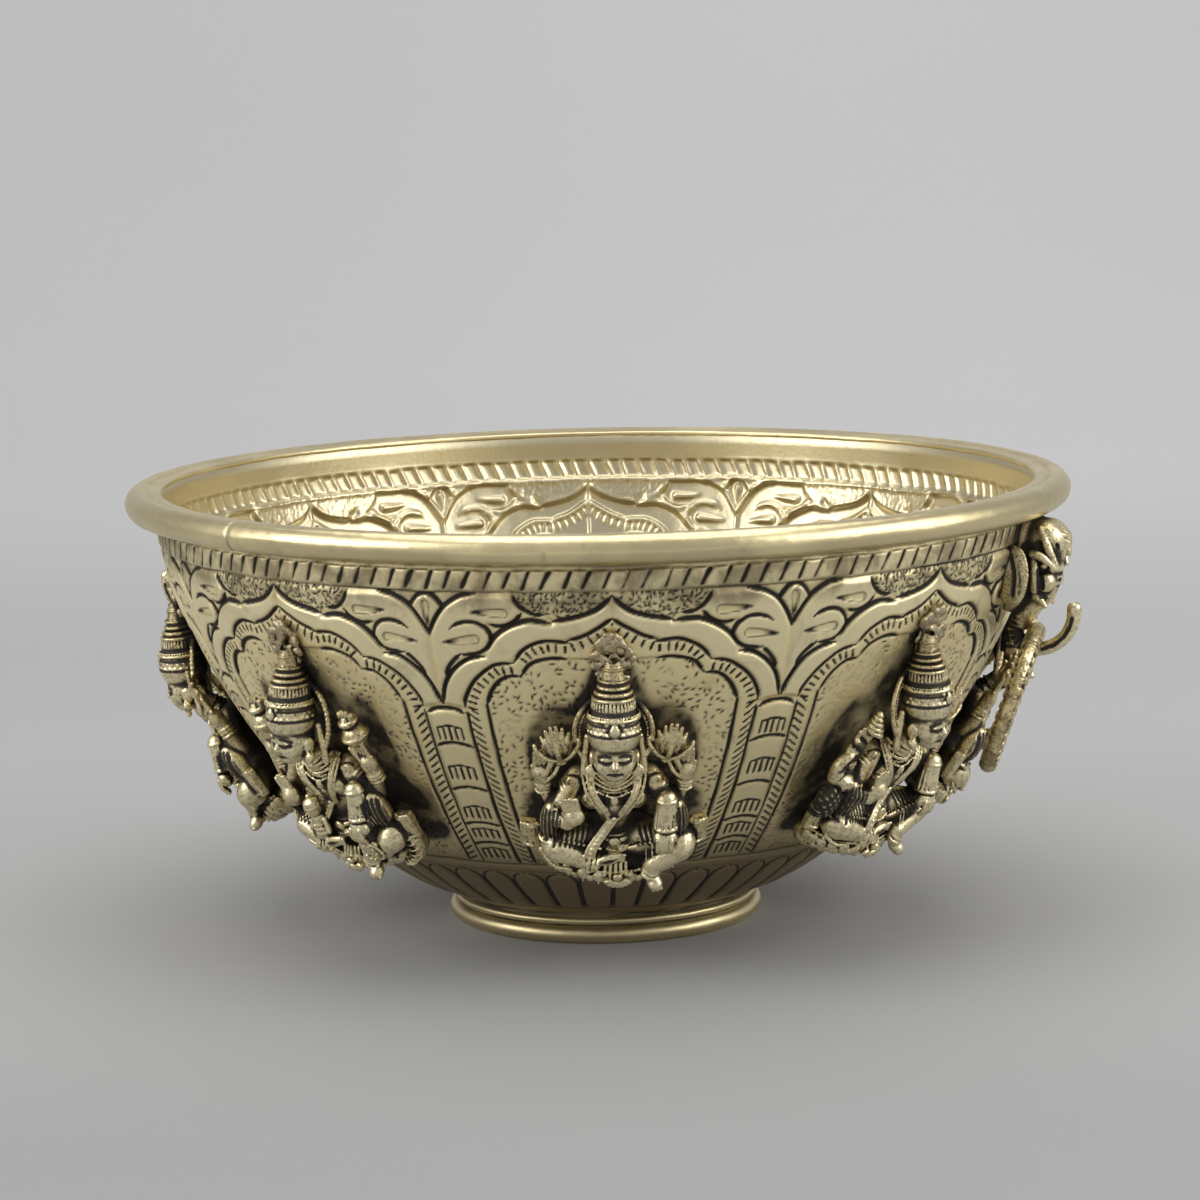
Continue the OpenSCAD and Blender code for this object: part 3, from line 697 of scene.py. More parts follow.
def bloom(clay, at, size, petals=6, wide=0.62, tip=0.0):
    """An opened lotus held upright, a fan of long petals; size is half its height and tip leans it outward."""
    across, along = np.array([math.cos(tip), math.sin(tip), 0]), np.array([-math.sin(tip), math.cos(tip), 0])

    def spot(u, v, w):
        return np.array(at) + size * (across * u * wide + along * v) + np.array([0, 0, size * w])

    for k in range(petals):
        t = (k - (petals - 1) / 2) / max(1, (petals - 1) / 2)
        clay.rope([spot(0.25 * t, -0.9, 0), spot(0.95 * t, -0.1, 0.26 * (1 - t * t)),
                   spot(0.8 * t, 0.45 - 0.1 * t * t, 0.2), spot(1.0 * t, 1.1 - 0.5 * t * t, 0)],
                  [0.1 * size, 0.125 * size, 0.135 * size, 0.09 * size], 0.1, steps=3)
    for k in (-1, 1):
        clay.rope([spot(0, -0.85, 0.12), spot(0.8 * k, -0.5, 0.3), spot(1.5 * k, -0.05, 0.15),
                   spot(1.6 * k, 0.15, 0.0)], 0.1 * size, 0.1, steps=3)
    clay.rope([spot(0, -0.9, 0.1), spot(0, -0.2, 0.42), spot(0, 0.35, 0.3)], 0.12 * size, 0.1, steps=3)
    clay.hoop(spot(0, -0.95, 0), 0.2 * size, 0.09 * size, 0.1)


def hand(clay, wrist, palm, way, length):
    """A palm with four fingers of a length along way and a thumb, and bracelets at the wrist."""
    spread, size = 1.25, 1.3
    wrist, palm, way = (np.asarray(v, float) for v in (wrist, palm, way))
    clay.limb(wrist, palm, 1.6 * size, 2.0 * size, 0.5)
    side = np.cross(way, [0, 0, 1.0])
    side /= max(1e-6, np.linalg.norm(side))
    clay.ball(palm, (2.5 * size, 2.5 * size, 1.4 * size), 0.4)
    for k in range(4):
        root = palm + side * spread * (k - 1.5) + way * 1.0 * size
        tip = root + way * length * (1 - 0.1 * abs(k - 1.6)) + side * 0.2 * (k - 1.5) + np.array([0, 0, 0.3])
        clay.limb(root, tip, 0.62 * size, 0.5 * size, 0.08)
    sign = 1 if palm[0] < 0 else -1
    clay.limb(palm + side * sign * -1.7, palm + side * sign * -2.7 + way * 2.2, 0.7 * size, 0.5 * size, 0.12)
    run = palm - wrist
    tip = math.degrees(math.atan2(-run[0], run[1]))
    for step in (-0.1, 0.12, 0.3):
        clay.hoop(wrist + run * step, 1.7 * size, 0.4 * size, 0.08, (0, 0, tip))


def vessel(clay, at, size):
    """A round pot with a neck band and a knobbed lid."""
    x, y, z = at
    clay.ball(at, (size, 0.9 * size, size), 0.3)
    clay.hoop(at, 0.98 * size, 0.16 * size, 0.1)
    clay.limb((x, y + 0.7 * size, z), (x, y + 1.25 * size, z), 0.45 * size, 0.62 * size, 0.2)
    clay.hoop((x, y + 1.3 * size, z), 0.62 * size, 0.2 * size, 0.1)
    for k in range(4):
        t = (k - 1.5) / 1.5
        clay.ball((x + 0.5 * size * t, y + 1.85 * size - 0.25 * size * abs(t), z),
                  (0.26 * size, 0.55 * size, 0.26 * size), 0.1, (0, 0, -25 * t))


def seated(clay, turn, halo):
    """The seated body with its dress, jewels, four arms, face and tall crown; turn is the head's."""
    # the seat and its row of petals
    clay.limb((-18, 9.5, 6.5), (18, 9.5, 6.5), 4.3, 4.3, 1.0)
    clay.limb((-13, 9.0, 11), (13, 8.6, 11), 3.9, 3.9, 1.5)
    edge = eased(np.array([(-21.0, 10.6, 8.5), (-17.5, 9.4, 12.2), (-9.5, 8.2, 15.6), (0, 7.2, 17.0),
                           (9.5, 7.8, 15.6), (17.5, 9.4, 12.2), (21.0, 10.6, 8.5)]), 4)
    for k in range(0, len(edge), 2):
        x, y, z = edge[k]
        clay.ball((x, y, z), (1.9, 2.7, 1.3), 0.12, (24, 2.6 * x, 0))
        clay.rope([(x, y + 2.2, z + 0.8), (x, y - 1.9, z + 1.2)], 0.3, 0.1)
    for k in range(1, len(edge), 2):
        x, y, z = edge[k]
        clay.ball((x, y - 1.5, z - 0.6), (1.3, 2.0, 1.1), 0.12, (30, 2.6 * x, 0))
    clay.beads([(x, y + 2.9, z + 0.5) for x, y, z in edge[::4]], 0.6, 1.25)
    # skirt and thighs
    clay.ball((0, 18, 8), (12, 7, 6.5), 1.5)
    for side in clay.sides():
        knee = 16.4 if side < 0 else 19.0
        clay.limb((5, 18.5, 9.5), (knee, 18.6, 13.2), 6.2, 5.1, 1.6)
        clay.ball((knee + 0.8, 18.6, 13.6), (4.2, 4.9, 4.3), 0.8)
    # the leg tucked in, its sole turned up
    clay.limb((-16.4, 18.4, 15.0), (-6.4, 15.6, 18.2), 4.2, 2.7, 0.7)
    clay.ball((-1.6, 17.6, 19.2), (4.3, 1.9, 1.5), 0.4, (0, 8, 12))
    for k in range(4):
        clay.ball((2.5 - 0.1 * k, 19.3 - 0.8 * k, 19.4), (0.95, 0.46, 0.55), 0.08)
    clay.rope([(-5.2, 17.0, 19.9), (-1.0, 18.0, 20.8), (1.8, 18.6, 20.6)], 0.22, 0.1, steps=3, carve=True)
    # the leg let down, with its foot
    clay.limb((19.2, 18.0, 15.2), (10.9, 13.4, 17.6), 4.3, 2.8, 0.8)
    clay.limb((10.9, 13.4, 17.6), (10.4, 10.4, 18.8), 2.5, 2.0, 0.4)
    clay.ball((11.8, 8.2, 20.0), (2.3, 2.1, 2.9), 0.4, (22, 14, 0))
    for k in range(4):
        clay.ball((11.2 + 0.85 * k, 7.1, 22.0 - 0.22 * k), (0.46, 0.6, 0.85), 0.08, (25, 14, 0))
    for at, r, tip in (((-8.0, 15.8, 17.9), 3.0, (0, 0, 78)), ((-6.7, 15.5, 18.2), 2.85, (0, 0, 78)),
                       ((-5.4, 15.6, 18.5), 2.6, (0, 0, 74)),
                       ((11.4, 13.4, 17.4), 2.85, (18, 0, -32)), ((10.8, 12.2, 18.0), 2.6, (18, 0, -20)),
                       ((10.5, 11.0, 18.5), 2.4, (18, 0, -10))):
        clay.hoop(at, r, 0.46, 0.08, tip)
    # the dress: folds round both knees, hems and the cloth that hangs between
    for _ in clay.sides():
        for step in range(5):
            x = 9.0 + 1.8 * step
            clay.rope([(x, 23.6 - 0.45 * step, 12.2), (x * 1.02, 21.6 - 0.4 * step, 16.2),
                       (x * 1.03, 16.6, 18.7 - 0.35 * step),
                       (x * 1.02, 13.4, 17.4 - 0.5 * step)], 0.27, 0.2, steps=3)
        clay.rope([(20.8, 21.6, 13.4), (16.8, 23.2, 16.4), (10.4, 21.8, 16.9), (4.2, 19.4, 16.6)], 0.6, 0.15,
                  steps=4)
        clay.rope([(20.6, 14.8, 14.6), (17.6, 13.0, 17.0), (13.6, 12.4, 17.6)], 0.6, 0.15, steps=4)
        clay.beads([(20.4, 23.0, 13.0), (16.8, 24.5, 15.4), (10.2, 23.4, 16.2), (4.4, 20.8, 16.0)], 0.36, 0.85)
    for k in range(5):
        clay.rope([(-2.6 + 1.5 * k, 13.2, 16.6 - 0.2 * abs(k - 2)),
                   (-3.0 + 1.6 * k, 9.6, 18.6 - 0.3 * abs(k - 2))], 0.6, 0.12)
    for k in range(7):
        a = math.radians(-150 + 20 * k)
        clay.ball((0.8 + 3.3 * math.cos(a), 9.6 + 2.8 * math.sin(a), 19.2), (0.85, 1.5, 0.8), 0.1,
                  (0, 0, math.degrees(a) + 90))
    clay.ball((0.8, 10.2, 19.6), (1.5, 1.4, 1.0), 0.12)
    # body
    clay.limb((0, 19, 8.5), (0, 25, 9), 6.2, 4.7, 1.2)
    clay.limb((0, 25, 9), (0, 34, 9), 4.7, 6.2, 1.2)
    clay.limb((-9.8, 41.4, 8.0), (9.8, 41.4, 8.0), 3.6, 3.6, 1.4)
    clay.ball((0, 38.0, 9), (8.0, 5.5, 4.9), 1.2)
    for _ in clay.sides():
        clay.ball((6.6, 36.8, 12.2), (3.3, 3.5, 3.2), 0.5)
        clay.hoop((6.6, 36.6, 12.8), 3.1, 0.34, 0.08, (70, 18, 0))
        clay.ball((6.9, 36.6, 15.2), (0.7, 0.7, 0.5), 0.15)
    clay.ball((0, 27.4, 13.2), (0.5, 0.7, 0.8), 0.3, carve=True)
    for y, r, rod in ((24.0, 5.6, 0.5), (22.6, 6.2, 0.8), (20.9, 6.8, 0.62), (19.5, 7.3, 0.5)):
        clay.hoop((0, y, 9.2), r, rod, 0.12, (12, 0, 0), 1.25)
    clay.ball((0, 21.6, 16.2), (1.9, 1.7, 0.9), 0.12)
    clay.beads([(-6.8, 22.0, 12.6), (-3.6, 19.6, 15.8), (0, 18.8, 16.9), (3.6, 19.6, 15.8), (6.8, 22.0, 12.6)],
               0.45, 0.95)
    # collar rows, sash and pendant
    for low, wide, rod in ((43.6, 5.8, 0.55), (42.4, 6.9, 0.42), (41.2, 7.8, 0.55), (40.0, 8.7, 0.42)):
        clay.rope([(-wide, 46.6 - 0.06 * wide, 8.8), (-0.74 * wide, low + 1.7, 12.2), (0, low, 14.2),
                   (0.74 * wide, low + 1.7, 12.2), (wide, 46.6 - 0.06 * wide, 8.8)], rod, 0.12, steps=5)
    clay.beads([(-8.6, 45.4, 10.0), (-6.2, 41.2, 13.4), (0, 38.9, 15.0), (6.2, 41.2, 13.4), (8.6, 45.4, 10.0)],
               0.45, 0.95)
    clay.ball((0, 37.4, 15.0), (1.3, 1.7, 0.9), 0.12)
    clay.ball((0, 35.0, 14.8), (0.75, 1.0, 0.7), 0.12)
    for _ in clay.sides():
        for shift, r in ((0.0, 0.7), (1.5, 0.45), (-1.2, 0.4)):
            clay.rope([(8.0 + shift, 45.4, 10.4), (6.6 + shift, 40.2, 14.6),
                       (3.4 + 0.9 * shift, 34.0, 15.1), (1.5 + 0.6 * shift, 29.4, 14.0)], r, 0.12, steps=4)
    for shift, r in ((-1.3, 0.5), (0.0, 0.75), (1.3, 0.5)):
        clay.rope([(-0.2 + shift, 30.0, 14.6), (-3.6 + shift, 25.2, 16.1), (-7.1 + shift, 20.5, 18.7),
                   (-8.0 + shift, 13.8, 20.3)], r, 0.08, steps=4)
    clay.beads([(-0.2, 30.0, 15.2), (-3.6, 25.2, 16.8), (-7.1, 20.5, 19.4), (-8.0, 13.9, 21.0)], 0.5, 1.5)
    # arms with armlets, and the wide sleeves with their folds
    for _ in clay.sides():
        clay.limb((10.6, 41.4, 8.2), (17.0, 32.5, 9.8), 3.3, 2.9, 0.9)
        clay.limb((17.0, 31.5, 9.4), (20.8, 38.6, 9.2), 2.7, 1.9, 0.6)
        clay.limb((11.6, 40.6, 9.8), (17.6, 31.0, 12.8), 3.2, 3.0, 0.8)
        clay.ball((19.0, 28.2, 12.8), (3.0, 7.4, 3.6), 0.4, (6, 0, 4))
        for k in range(5):
            clay.rope([(16.9 + 0.95 * k, 35.0 - 0.5 * k, 15.1 - 0.25 * k),
                       (17.2 + 1.0 * k, 28.4, 17.1 - 0.42 * k),
                       (17.4 + 0.85 * k, 21.4, 14.9 - 0.25 * k)], 0.4, 0.06, steps=3)
        clay.hoop((19.1, 21.9, 12.9), 2.9, 0.6, 0.1, (10, 0, 4))
        for step in (0, 1, 2):
            clay.hoop((12.4 + 0.75 * step, 39.6 - 1.1 * step, 9.4 + 0.2 * step), 3.4, 0.42, 0.1, (0, 0, 56))
        clay.ball((12.4, 42.6, 11.4), (2.3, 2.0, 1.0), 0.15, (0, 20, 0))
        clay.hoop((12.4, 42.6, 12.0), 1.5, 0.35, 0.08, (90, 0, 0))
        for k in range(3):
            clay.limb((11.4 + k, 40.8, 12.2), (11.7 + 1.1 * k, 37.6, 12.6), 0.5, 0.65, 0.1)
        for k in range(5):
            x = 22.6 + 1.05 * k
            clay.limb((x, 16.4, 11.4 - 0.5 * abs(k - 1.8)), (x + 0.5, 25.4, 12.0 - 0.5 * abs(k - 1.8)),
                      0.72, 0.72, 0.1)
        clay.slab((24.9, 20.8, 9.8), (2.6, 5.0, 1.2), 0.3, (0, 12, -3), 0.6)
        for y in (17.2, 24.8):
            clay.rope([(22.2, y, 11.4), (24.6, y, 12.5), (27.2, y, 10.6)], 0.36, 0.08, steps=3)
        clay.pleats((15.4, 22.6, 12.5), (23.4, 34.6, 19), (1, 0, -0.3), 1.25)
        clay.pleats((6.5, 19.6, 11), (19.0, 25.0, 18), (1, 0.35, 0), 1.5, 0.35)
    # lower hands: the palm shown and the closed hand in its cuff
    clay.limb((-18.0, 31.0, 14.0), (-13.8, 31.4, 17.4), 2.7, 2.2, 0.5)
    hand(clay, (-14.4, 30.8, 16.6), (-12.0, 34.2, 18.2), (-0.22, 0.97, -0.1), 6.2)
    clay.limb((15.4, 37.6, 15.0), (15.0, 30.4, 17.2), 2.9, 3.0, 0.4)
    for k in range(-4, 5):
        a = math.radians(24 * k)
        clay.limb((15.4 + 2.8 * math.sin(a), 37.0, 15.0 + 2.8 * math.cos(a)),
                  (15.0 + 3.2 * math.sin(a), 29.6, 17.4 + 3.2 * math.cos(a)), 0.36, 0.5, 0.06)
    clay.hoop((15.0, 28.9, 17.6), 3.3, 0.5, 0.1, (-16, 0, 0))
    clay.hoop((15.4, 37.4, 15.0), 2.9, 0.45, 0.1, (-16, 0, 0))
    clay.hoop((15.0, 28.0, 18.0), 2.3, 0.5, 0.1, (-16, 0, 0), carve=True)
    clay.ball((14.8, 26.2, 19.4), (3.6, 3.0, 2.5), 0.3)
    for k in range(4):
        clay.rope([(12.6 + 1.3 * k, 26.8, 21.4), (12.5 + 1.35 * k, 24.0, 21.9),
                   (12.6 + 1.3 * k, 21.4 + 0.4 * abs(k - 1.5), 21.0)], 0.68, 0.08, steps=2)
    # neck, face and hair; the head is held upright, so it leans back from the wall's slope
    clay.limb((0, 41.5, 9.4), (0, 51.5, 13.6), 3.7, 3.4, 0.8)
    for k in range(3):
        clay.hoop((0, 44.6 + 1.3 * k, 10.6 + 0.55 * k), 3.8, 0.36, 0.12, (24, 0, 0))
    clay.turned(turn, (0, 56.9, 15.8), nod=-27)
    clay.ball((0, 56.8, 14.6), (6.6, 7.6, 6.4), 0.4)
    clay.ball((0, 51.9, 16.2), (3.7, 2.9, 3.3), 1.2)
    for _ in clay.sides():
        clay.ball((3.0, 54.0, 17.9), (2.4, 2.5, 2.0), 0.8)
        clay.ball((2.7, 56.2, 19.4), (1.8, 1.05, 0.95), 0.12)
        clay.rope([(0.9, 55.9, 20.3), (2.7, 55.4, 20.5), (4.7, 56.0, 19.2)], 0.3, 0.08, carve=True)
        clay.rope([(1.1, 57.5, 20.4), (2.8, 57.8, 20.3), (4.9, 57.2, 19.0)], 0.22, 0.08, carve=True)
        clay.rope([(0.7, 58.5, 20.0), (2.8, 59.3, 20.0), (5.2, 58.4, 18.2)], 0.42, 0.12, steps=3)
        clay.ball((6.4, 55.4, 13.6), (0.9, 2.6, 1.8), 0.2)
        clay.hoop((6.9, 55.8, 13.8), 1.3, 0.34, 0.08, (0, 0, 90))
        clay.ball((6.8, 51.8, 13.8), (1.7, 1.8, 1.6), 0.12)
        clay.hoop((6.8, 51.8, 14.6), 1.5, 0.36, 0.08, (90, 0, 0))
        clay.ball((6.8, 49.2, 13.8), (0.9, 1.0, 0.9), 0.1)
    clay.limb((0, 57.9, 19.6), (0, 54.3, 21.0), 0.6, 1.0, 0.25)
    for _ in clay.sides():
        clay.ball((1.0, 53.9, 20.3), (0.7, 0.55, 0.65), 0.15)
    clay.ball((0, 52.5, 19.5), (1.9, 0.45, 0.7), 0.1)
    clay.ball((0, 51.5, 19.2), (1.5, 0.55, 0.75), 0.1)
    clay.rope([(-2.2, 52.1, 19.0), (0, 51.95, 20.0), (2.2, 52.1, 19.0)], 0.2, 0.06, carve=True)

    def on_crown(r, y, a, out=14.8):
        return r * math.sin(a), y, out + r * math.cos(a)

    # headdress: bound cap, brow band with its jewel, fluted crown, rings and bell
    clay.limb((0, 63.6, 14.8), (0, 65.9, 14.8), 7.7, 7.3, 0.3)
    for y, r, rod in ((61.3, 7.0, 0.42), (62.2, 7.35, 0.36)):
        clay.hoop((0, y, 14.8), r, rod, 0.1)
    clay.beads([on_crown(7.6, 63.0, a) for a in np.linspace(-1.9, 1.9, 11)], 0.4, 0.9)
    for y in (63.7, 66.8):
        clay.hoop((0, y, 14.8), 7.8 - 0.12 * (y - 63.7), 0.12, 0.06, carve=True)
    for k in range(-7, 8):
        a = math.radians(16 * k)
        clay.ball(on_crown(7.6, 64.4, a), (0.5, 0.5, 0.35), 0.08)
        clay.ball(on_crown(7.4, 65.9, a + 0.14), (0.4, 0.4, 0.35), 0.08)
    clay.ball((0, 65.6, 22.2), (1.5, 2.1, 1.0), 0.1)
    clay.ball((0, 68.2, 21.4), (2.1, 1.3, 1.0), 0.1)
    clay.ball((0, 63.2, 22.4), (1.0, 0.8, 0.8), 0.1)
    for _ in clay.sides():
        clay.ball((2.2, 67.0, 21.6), (0.8, 1.0, 0.7), 0.1)
        clay.ball((2.0, 64.2, 22.0), (0.6, 0.8, 0.6), 0.1)
    clay.hoop((0, 68.4, 14.8), 7.5, 0.5, 0.1)
    clay.beads([on_crown(7.4, 69.4, a) for a in np.linspace(-2.2, 2.2, 11)], 0.4, 0.9)
    clay.limb((0, 68.4, 14.8), (0, 71.4, 14.6), 6.8, 6.1, 0.15)
    clay.hoop((0, 70.3, 14.8), 6.8, 0.34, 0.08, carve=True)
    for k in range(-11, 12):
        a = math.radians(k * 10.5)
        clay.limb(on_crown(6.4, 71.0, a, 14.6), on_crown(6.1, 73.2, a, 14.6), 0.36, 0.32, 0.05)
    for y, r, rod in ((74.0, 6.0, 0.5), (75.6, 5.2, 0.6), (77.3, 4.3, 0.6)):
        clay.hoop((0, y, 14.6), r, rod, 0.08)
        clay.ball((0, y, 14.6), (r, 1.1, r), 0.1)
    clay.limb((0, 78.4, 14.6), (0, 81.0, 14.6), 3.7, 3.1, 0.2)
    clay.hoop((0, 79.2, 14.6), 4.0, 0.4, 0.08)
    clay.limb((0, 81.6, 14.6), (0, 88.4, 14.4), 2.9, 1.7, 0.2)
    clay.hoop((0, 82.6, 14.6), 3.0, 0.35, 0.08)
    ring = [(11.4 * math.cos(a), 61.8 + 11.6 * math.sin(a), 9.6)
            for a in np.linspace(-0.75, math.pi + 0.75, 34)]
    if halo == "beaded":
        clay.beads(ring, 0.95, 1.45, 2)
    else:
        clay.rope(ring, 0.8, 0.12)
        clay.beads([(x * 0.87, 61.8 + (y - 61.8) * 0.87, z + 0.3) for x, y, z in ring], 0.42, 0.95, 2)
    for _ in clay.sides():
        clay.rope([(7.6, 61.0, 10.6), (8.4, 55.0, 10.0), (8.8, 50.0, 9.4)], 1.1, 0.3, steps=4)
    clay.turned(0)


def raised(clay, side):
    """The upper hand at one side, lifted above the shoulder; what it holds stands at its fingers."""
    hand(clay, (side * 20.8, 38.6, 9.2), (side * 21.2, 45.0, 9.4), (-side * 0.03, 0.99, 0.0), 7.4)
    clay.limb((side * 19.6, 46.0, 10.2), (side * 17.4, 50.4, 10.2), 0.9, 0.8, 0.2)


def lotus_gifts(clay):
    for side in (-1, 1):
        raised(clay, side)
        clay.rope([(side * 20.0, 42.5, 11.2), (side * 17.4, 45.5, 11.2), (side * 16.0, 49.0, 10.0)], 0.6, 0.2,
                  steps=3)
        bloom(clay, (side * 16.5, 55.4, 9.6), 6.6, tip=-side * 0.16)


def book_gifts(clay):
    raised(clay, -1)
    bloom(clay, (-16.5, 55.2, 9.6), 6.4, tip=0.16)
    raised(clay, 1)
    clay.slab((18.6, 55.0, 9.4), (5.2, 3.1, 1.5), 0.2, (8, 0, 14))
    for k in range(3):
        clay.slab((18.6, 53.2 + 1.5 * k, 10.8), (5.1, 0.22, 0.7), 0.08, (8, 0, 14))
    for k in (-1, 1):
        clay.slab((18.6 + 2.6 * k, 55.0 + 0.6 * k, 9.6), (0.6, 3.2, 1.7), 0.1, (8, 0, 14))


def shield_gifts(clay):
    raised(clay, -1)
    clay.slab((-21.2, 54.6, 9.8), (1.3, 9.4, 0.8), 0.15, (0, 0, 7))
    clay.slab((-21.2, 54.6, 10.2), (0.35, 8.8, 0.9), 0.1, (0, 0, 7))
    clay.slab((-20.9, 46.6, 10.8), (3.2, 0.8, 1.2), 0.15, (0, 0, 7))
    raised(clay, 1)
    clay.ball((19.4, 54.0, 8.4), (5.9, 5.9, 2.2), 0.3)
    for r, rod in ((5.5, 0.55), (3.6, 0.4)):
        clay.hoop((19.4, 54.0, 9.2), r, rod, 0.1, (90, 0, 0))
    clay.ball((19.4, 54.0, 10.5), (1.5, 1.5, 1.0), 0.15)
    for k in range(12):
        a = math.radians(30 * k)
        clay.ball((19.4 + 4.5 * math.cos(a), 54.0 + 4.5 * math.sin(a), 10.0), 0.5, 0.1)


def grain_gifts(clay):
    for side in (-1, 1):
        raised(clay, side)
        for k in range(7):
            t = (k - 3) / 3
            foot = side * 19.6 + 0.4 * t, 45.5, 10.4
            top = side * 18.6 + 4.2 * t, 59.5 - 1.8 * abs(t), 9.8 - 0.8 * abs(t)
            clay.limb(foot, top, 0.5, 0.65, 0.12)
            for step in range(4):
                p = np.array(foot) + (np.array(top) - foot) * (0.55 + 0.15 * step)
                clay.ball(p + [0.35 * (1 if step % 2 else -1), 0, 0.2], (0.75, 1.0, 0.75), 0.1, (0, 0, -22 * t))
        clay.hoop((side * 19.3, 49.2, 10.3), 1.7, 0.5, 0.1, squash=1.3)


def coin_gifts(clay):
    raised(clay, -1)
    bloom(clay, (-16.5, 55.4, 9.6), 6.6, tip=0.16)
    raised(clay, 1)
    bloom(clay, (16.5, 55.2, 9.6), 6.2, 5, tip=-0.16)
    vessel(clay, (-0.5, 24.4, 19.0), 3.6)
    for k in range(3):
        clay.hoop((-12.0 + 0.3 * k, 20.4 - 1.35 * k, 21.6), 1.3, 0.5, 0.1, (12, 0, 0), 0.9)
        clay.ball((-12.0 + 0.3 * k, 20.4 - 1.35 * k, 21.6), (1.2, 0.6, 1.2), 0.1)


def small_elephant(clay, x, y):
    """A little elephant on an opened lotus, with its trunk lifted inward."""
    side = 1 if x > 0 else -1
    bloom(clay, (x, y - 3.4, 9.6), 4.0, 7, 1.1)
    clay.ball((x, y + 2.8, 9.4), (3.2, 2.5, 2.5), 0.4)
    for leg in (-1.9, 1.6):
        for deep in (-1.0, 1.2):
            clay.limb((x + leg, y + 2.2, 9.6 + deep), (x + leg, y - 0.4, 9.6 + deep), 0.95, 0.85, 0.2)
    clay.ball((x - side * 3.2, y + 4.6, 9.8), (2.0, 2.1, 1.9), 0.4)
    clay.ball((x - side * 2.4, y + 4.4, 11.4), (1.5, 1.9, 0.5), 0.15)
    clay.rope([(x - side * 4.6, y + 4.2, 10.2), (x - side * 6.2, y + 4.6, 10.2), (x - side * 6.8, y + 7.2, 9.8),
               (x - side * 5.6, y + 9.0, 9.4)], [1.1, 0.9, 0.75, 0.7], 0.2, steps=3)
    clay.ball((x, y + 3.8, 9.6), (1.9, 2.1, 2.7), 0.1)
    for k in range(4):
        clay.hoop((x - 0.2, y + 3.6, 9.6), 2.0 + 0.25 * k, 0.22, 0.08, (0, 0, 90))
    clay.rope([(x + side * 3.0, y + 3.2, 9.6), (x + side * 3.7, y + 0.8, 9.6)], 0.35, 0.15)


def elephant_gifts(clay):
    for side in (-1, 1):
        raised(clay, side)
        small_elephant(clay, side * 18.4, 55.4)


def child_gifts(clay):
    for side in (-1, 1):
        raised(clay, side)
        vessel(clay, (side * 20.2, 54.6, 8.0), 4.0)
    # the child on the lap
    clay.limb((-6.4, 19.4, 17.6), (-5.8, 25.2, 17.4), 2.8, 2.3, 0.5)
    clay.ball((-5.6, 29.4, 17.8), (2.5, 2.9, 2.5), 0.2)
    clay.ball((-5.6, 31.3, 17.6), (2.7, 1.9, 2.6), 0.15)
    clay.hoop((-5.6, 30.4, 17.7), 2.55, 0.35, 0.1)
    clay.ball((-5.6, 33.6, 17.4), (0.9, 1.0, 0.9), 0.2)
    clay.limb((-5.6, 29.7, 20.0), (-5.6, 28.7, 20.4), 0.3, 0.42, 0.15)
    clay.ball((-5.6, 27.9, 19.9), (0.8, 0.22, 0.35), 0.08)
    for k in (-1, 1):
        clay.ball((-5.6 + 1.0 * k, 29.6, 19.9), (0.6, 0.35, 0.35), 0.1)
        clay.limb((-5.8 + 2.4 * k, 24.8, 17.6), (-5.8 + 3.9 * k, 21.4, 19.2), 0.95, 0.8, 0.3)
        clay.limb((-6.4 + 1.4 * k, 18.8, 18.6), (-6.4 + 3.0 * k, 15.2, 20.6), 1.3, 1.0, 0.4)
    for k in range(3):
        clay.hoop((-6.2, 20.4 + 1.7 * k, 17.6), 2.75 - 0.1 * k, 0.28, 0.08)
    # rounded shield at the knee and folds like scales over the thigh
    clay.ball((14.8, 17.0, 19.0), (4.6, 4.2, 1.6), 0.3, (14, 10, 0))
    clay.hoop((14.8, 17.0, 19.7), 4.2, 0.5, 0.1, (104, 0, -10))
    for k in range(10):
        a = math.radians(36 * k)
        clay.ball((14.8 + 2.9 * math.cos(a), 17.0 + 2.7 * math.sin(a), 20.8), 0.5, 0.1)
    clay.rope([(-24.5, 47.0, 9.0), (-22.8, 30.0, 11.6), (-20.8, 17.0, 13.6)], 0.75, 0.2)
    clay.rope([(21.6, 21.0, 12.4), (24.4, 15.4, 10.4), (22.2, 8.6, 9.4), (17.6, 5.6, 12.4)],
              [1.2, 2.1, 1.9, 0.9], 0.3, steps=4)
    for k in range(9):
        t = k / 8
        x, y = (np.interp(t, [0, 0.35, 0.7, 1], way)
                for way in ([21.9, 24.2, 22.4, 18.4], [20.4, 15.2, 9.0, 6.2]))
        clay.hoop((x, y, 11.4), 1.75, 0.35, 0.08, (0, 0, 20 - 60 * t))


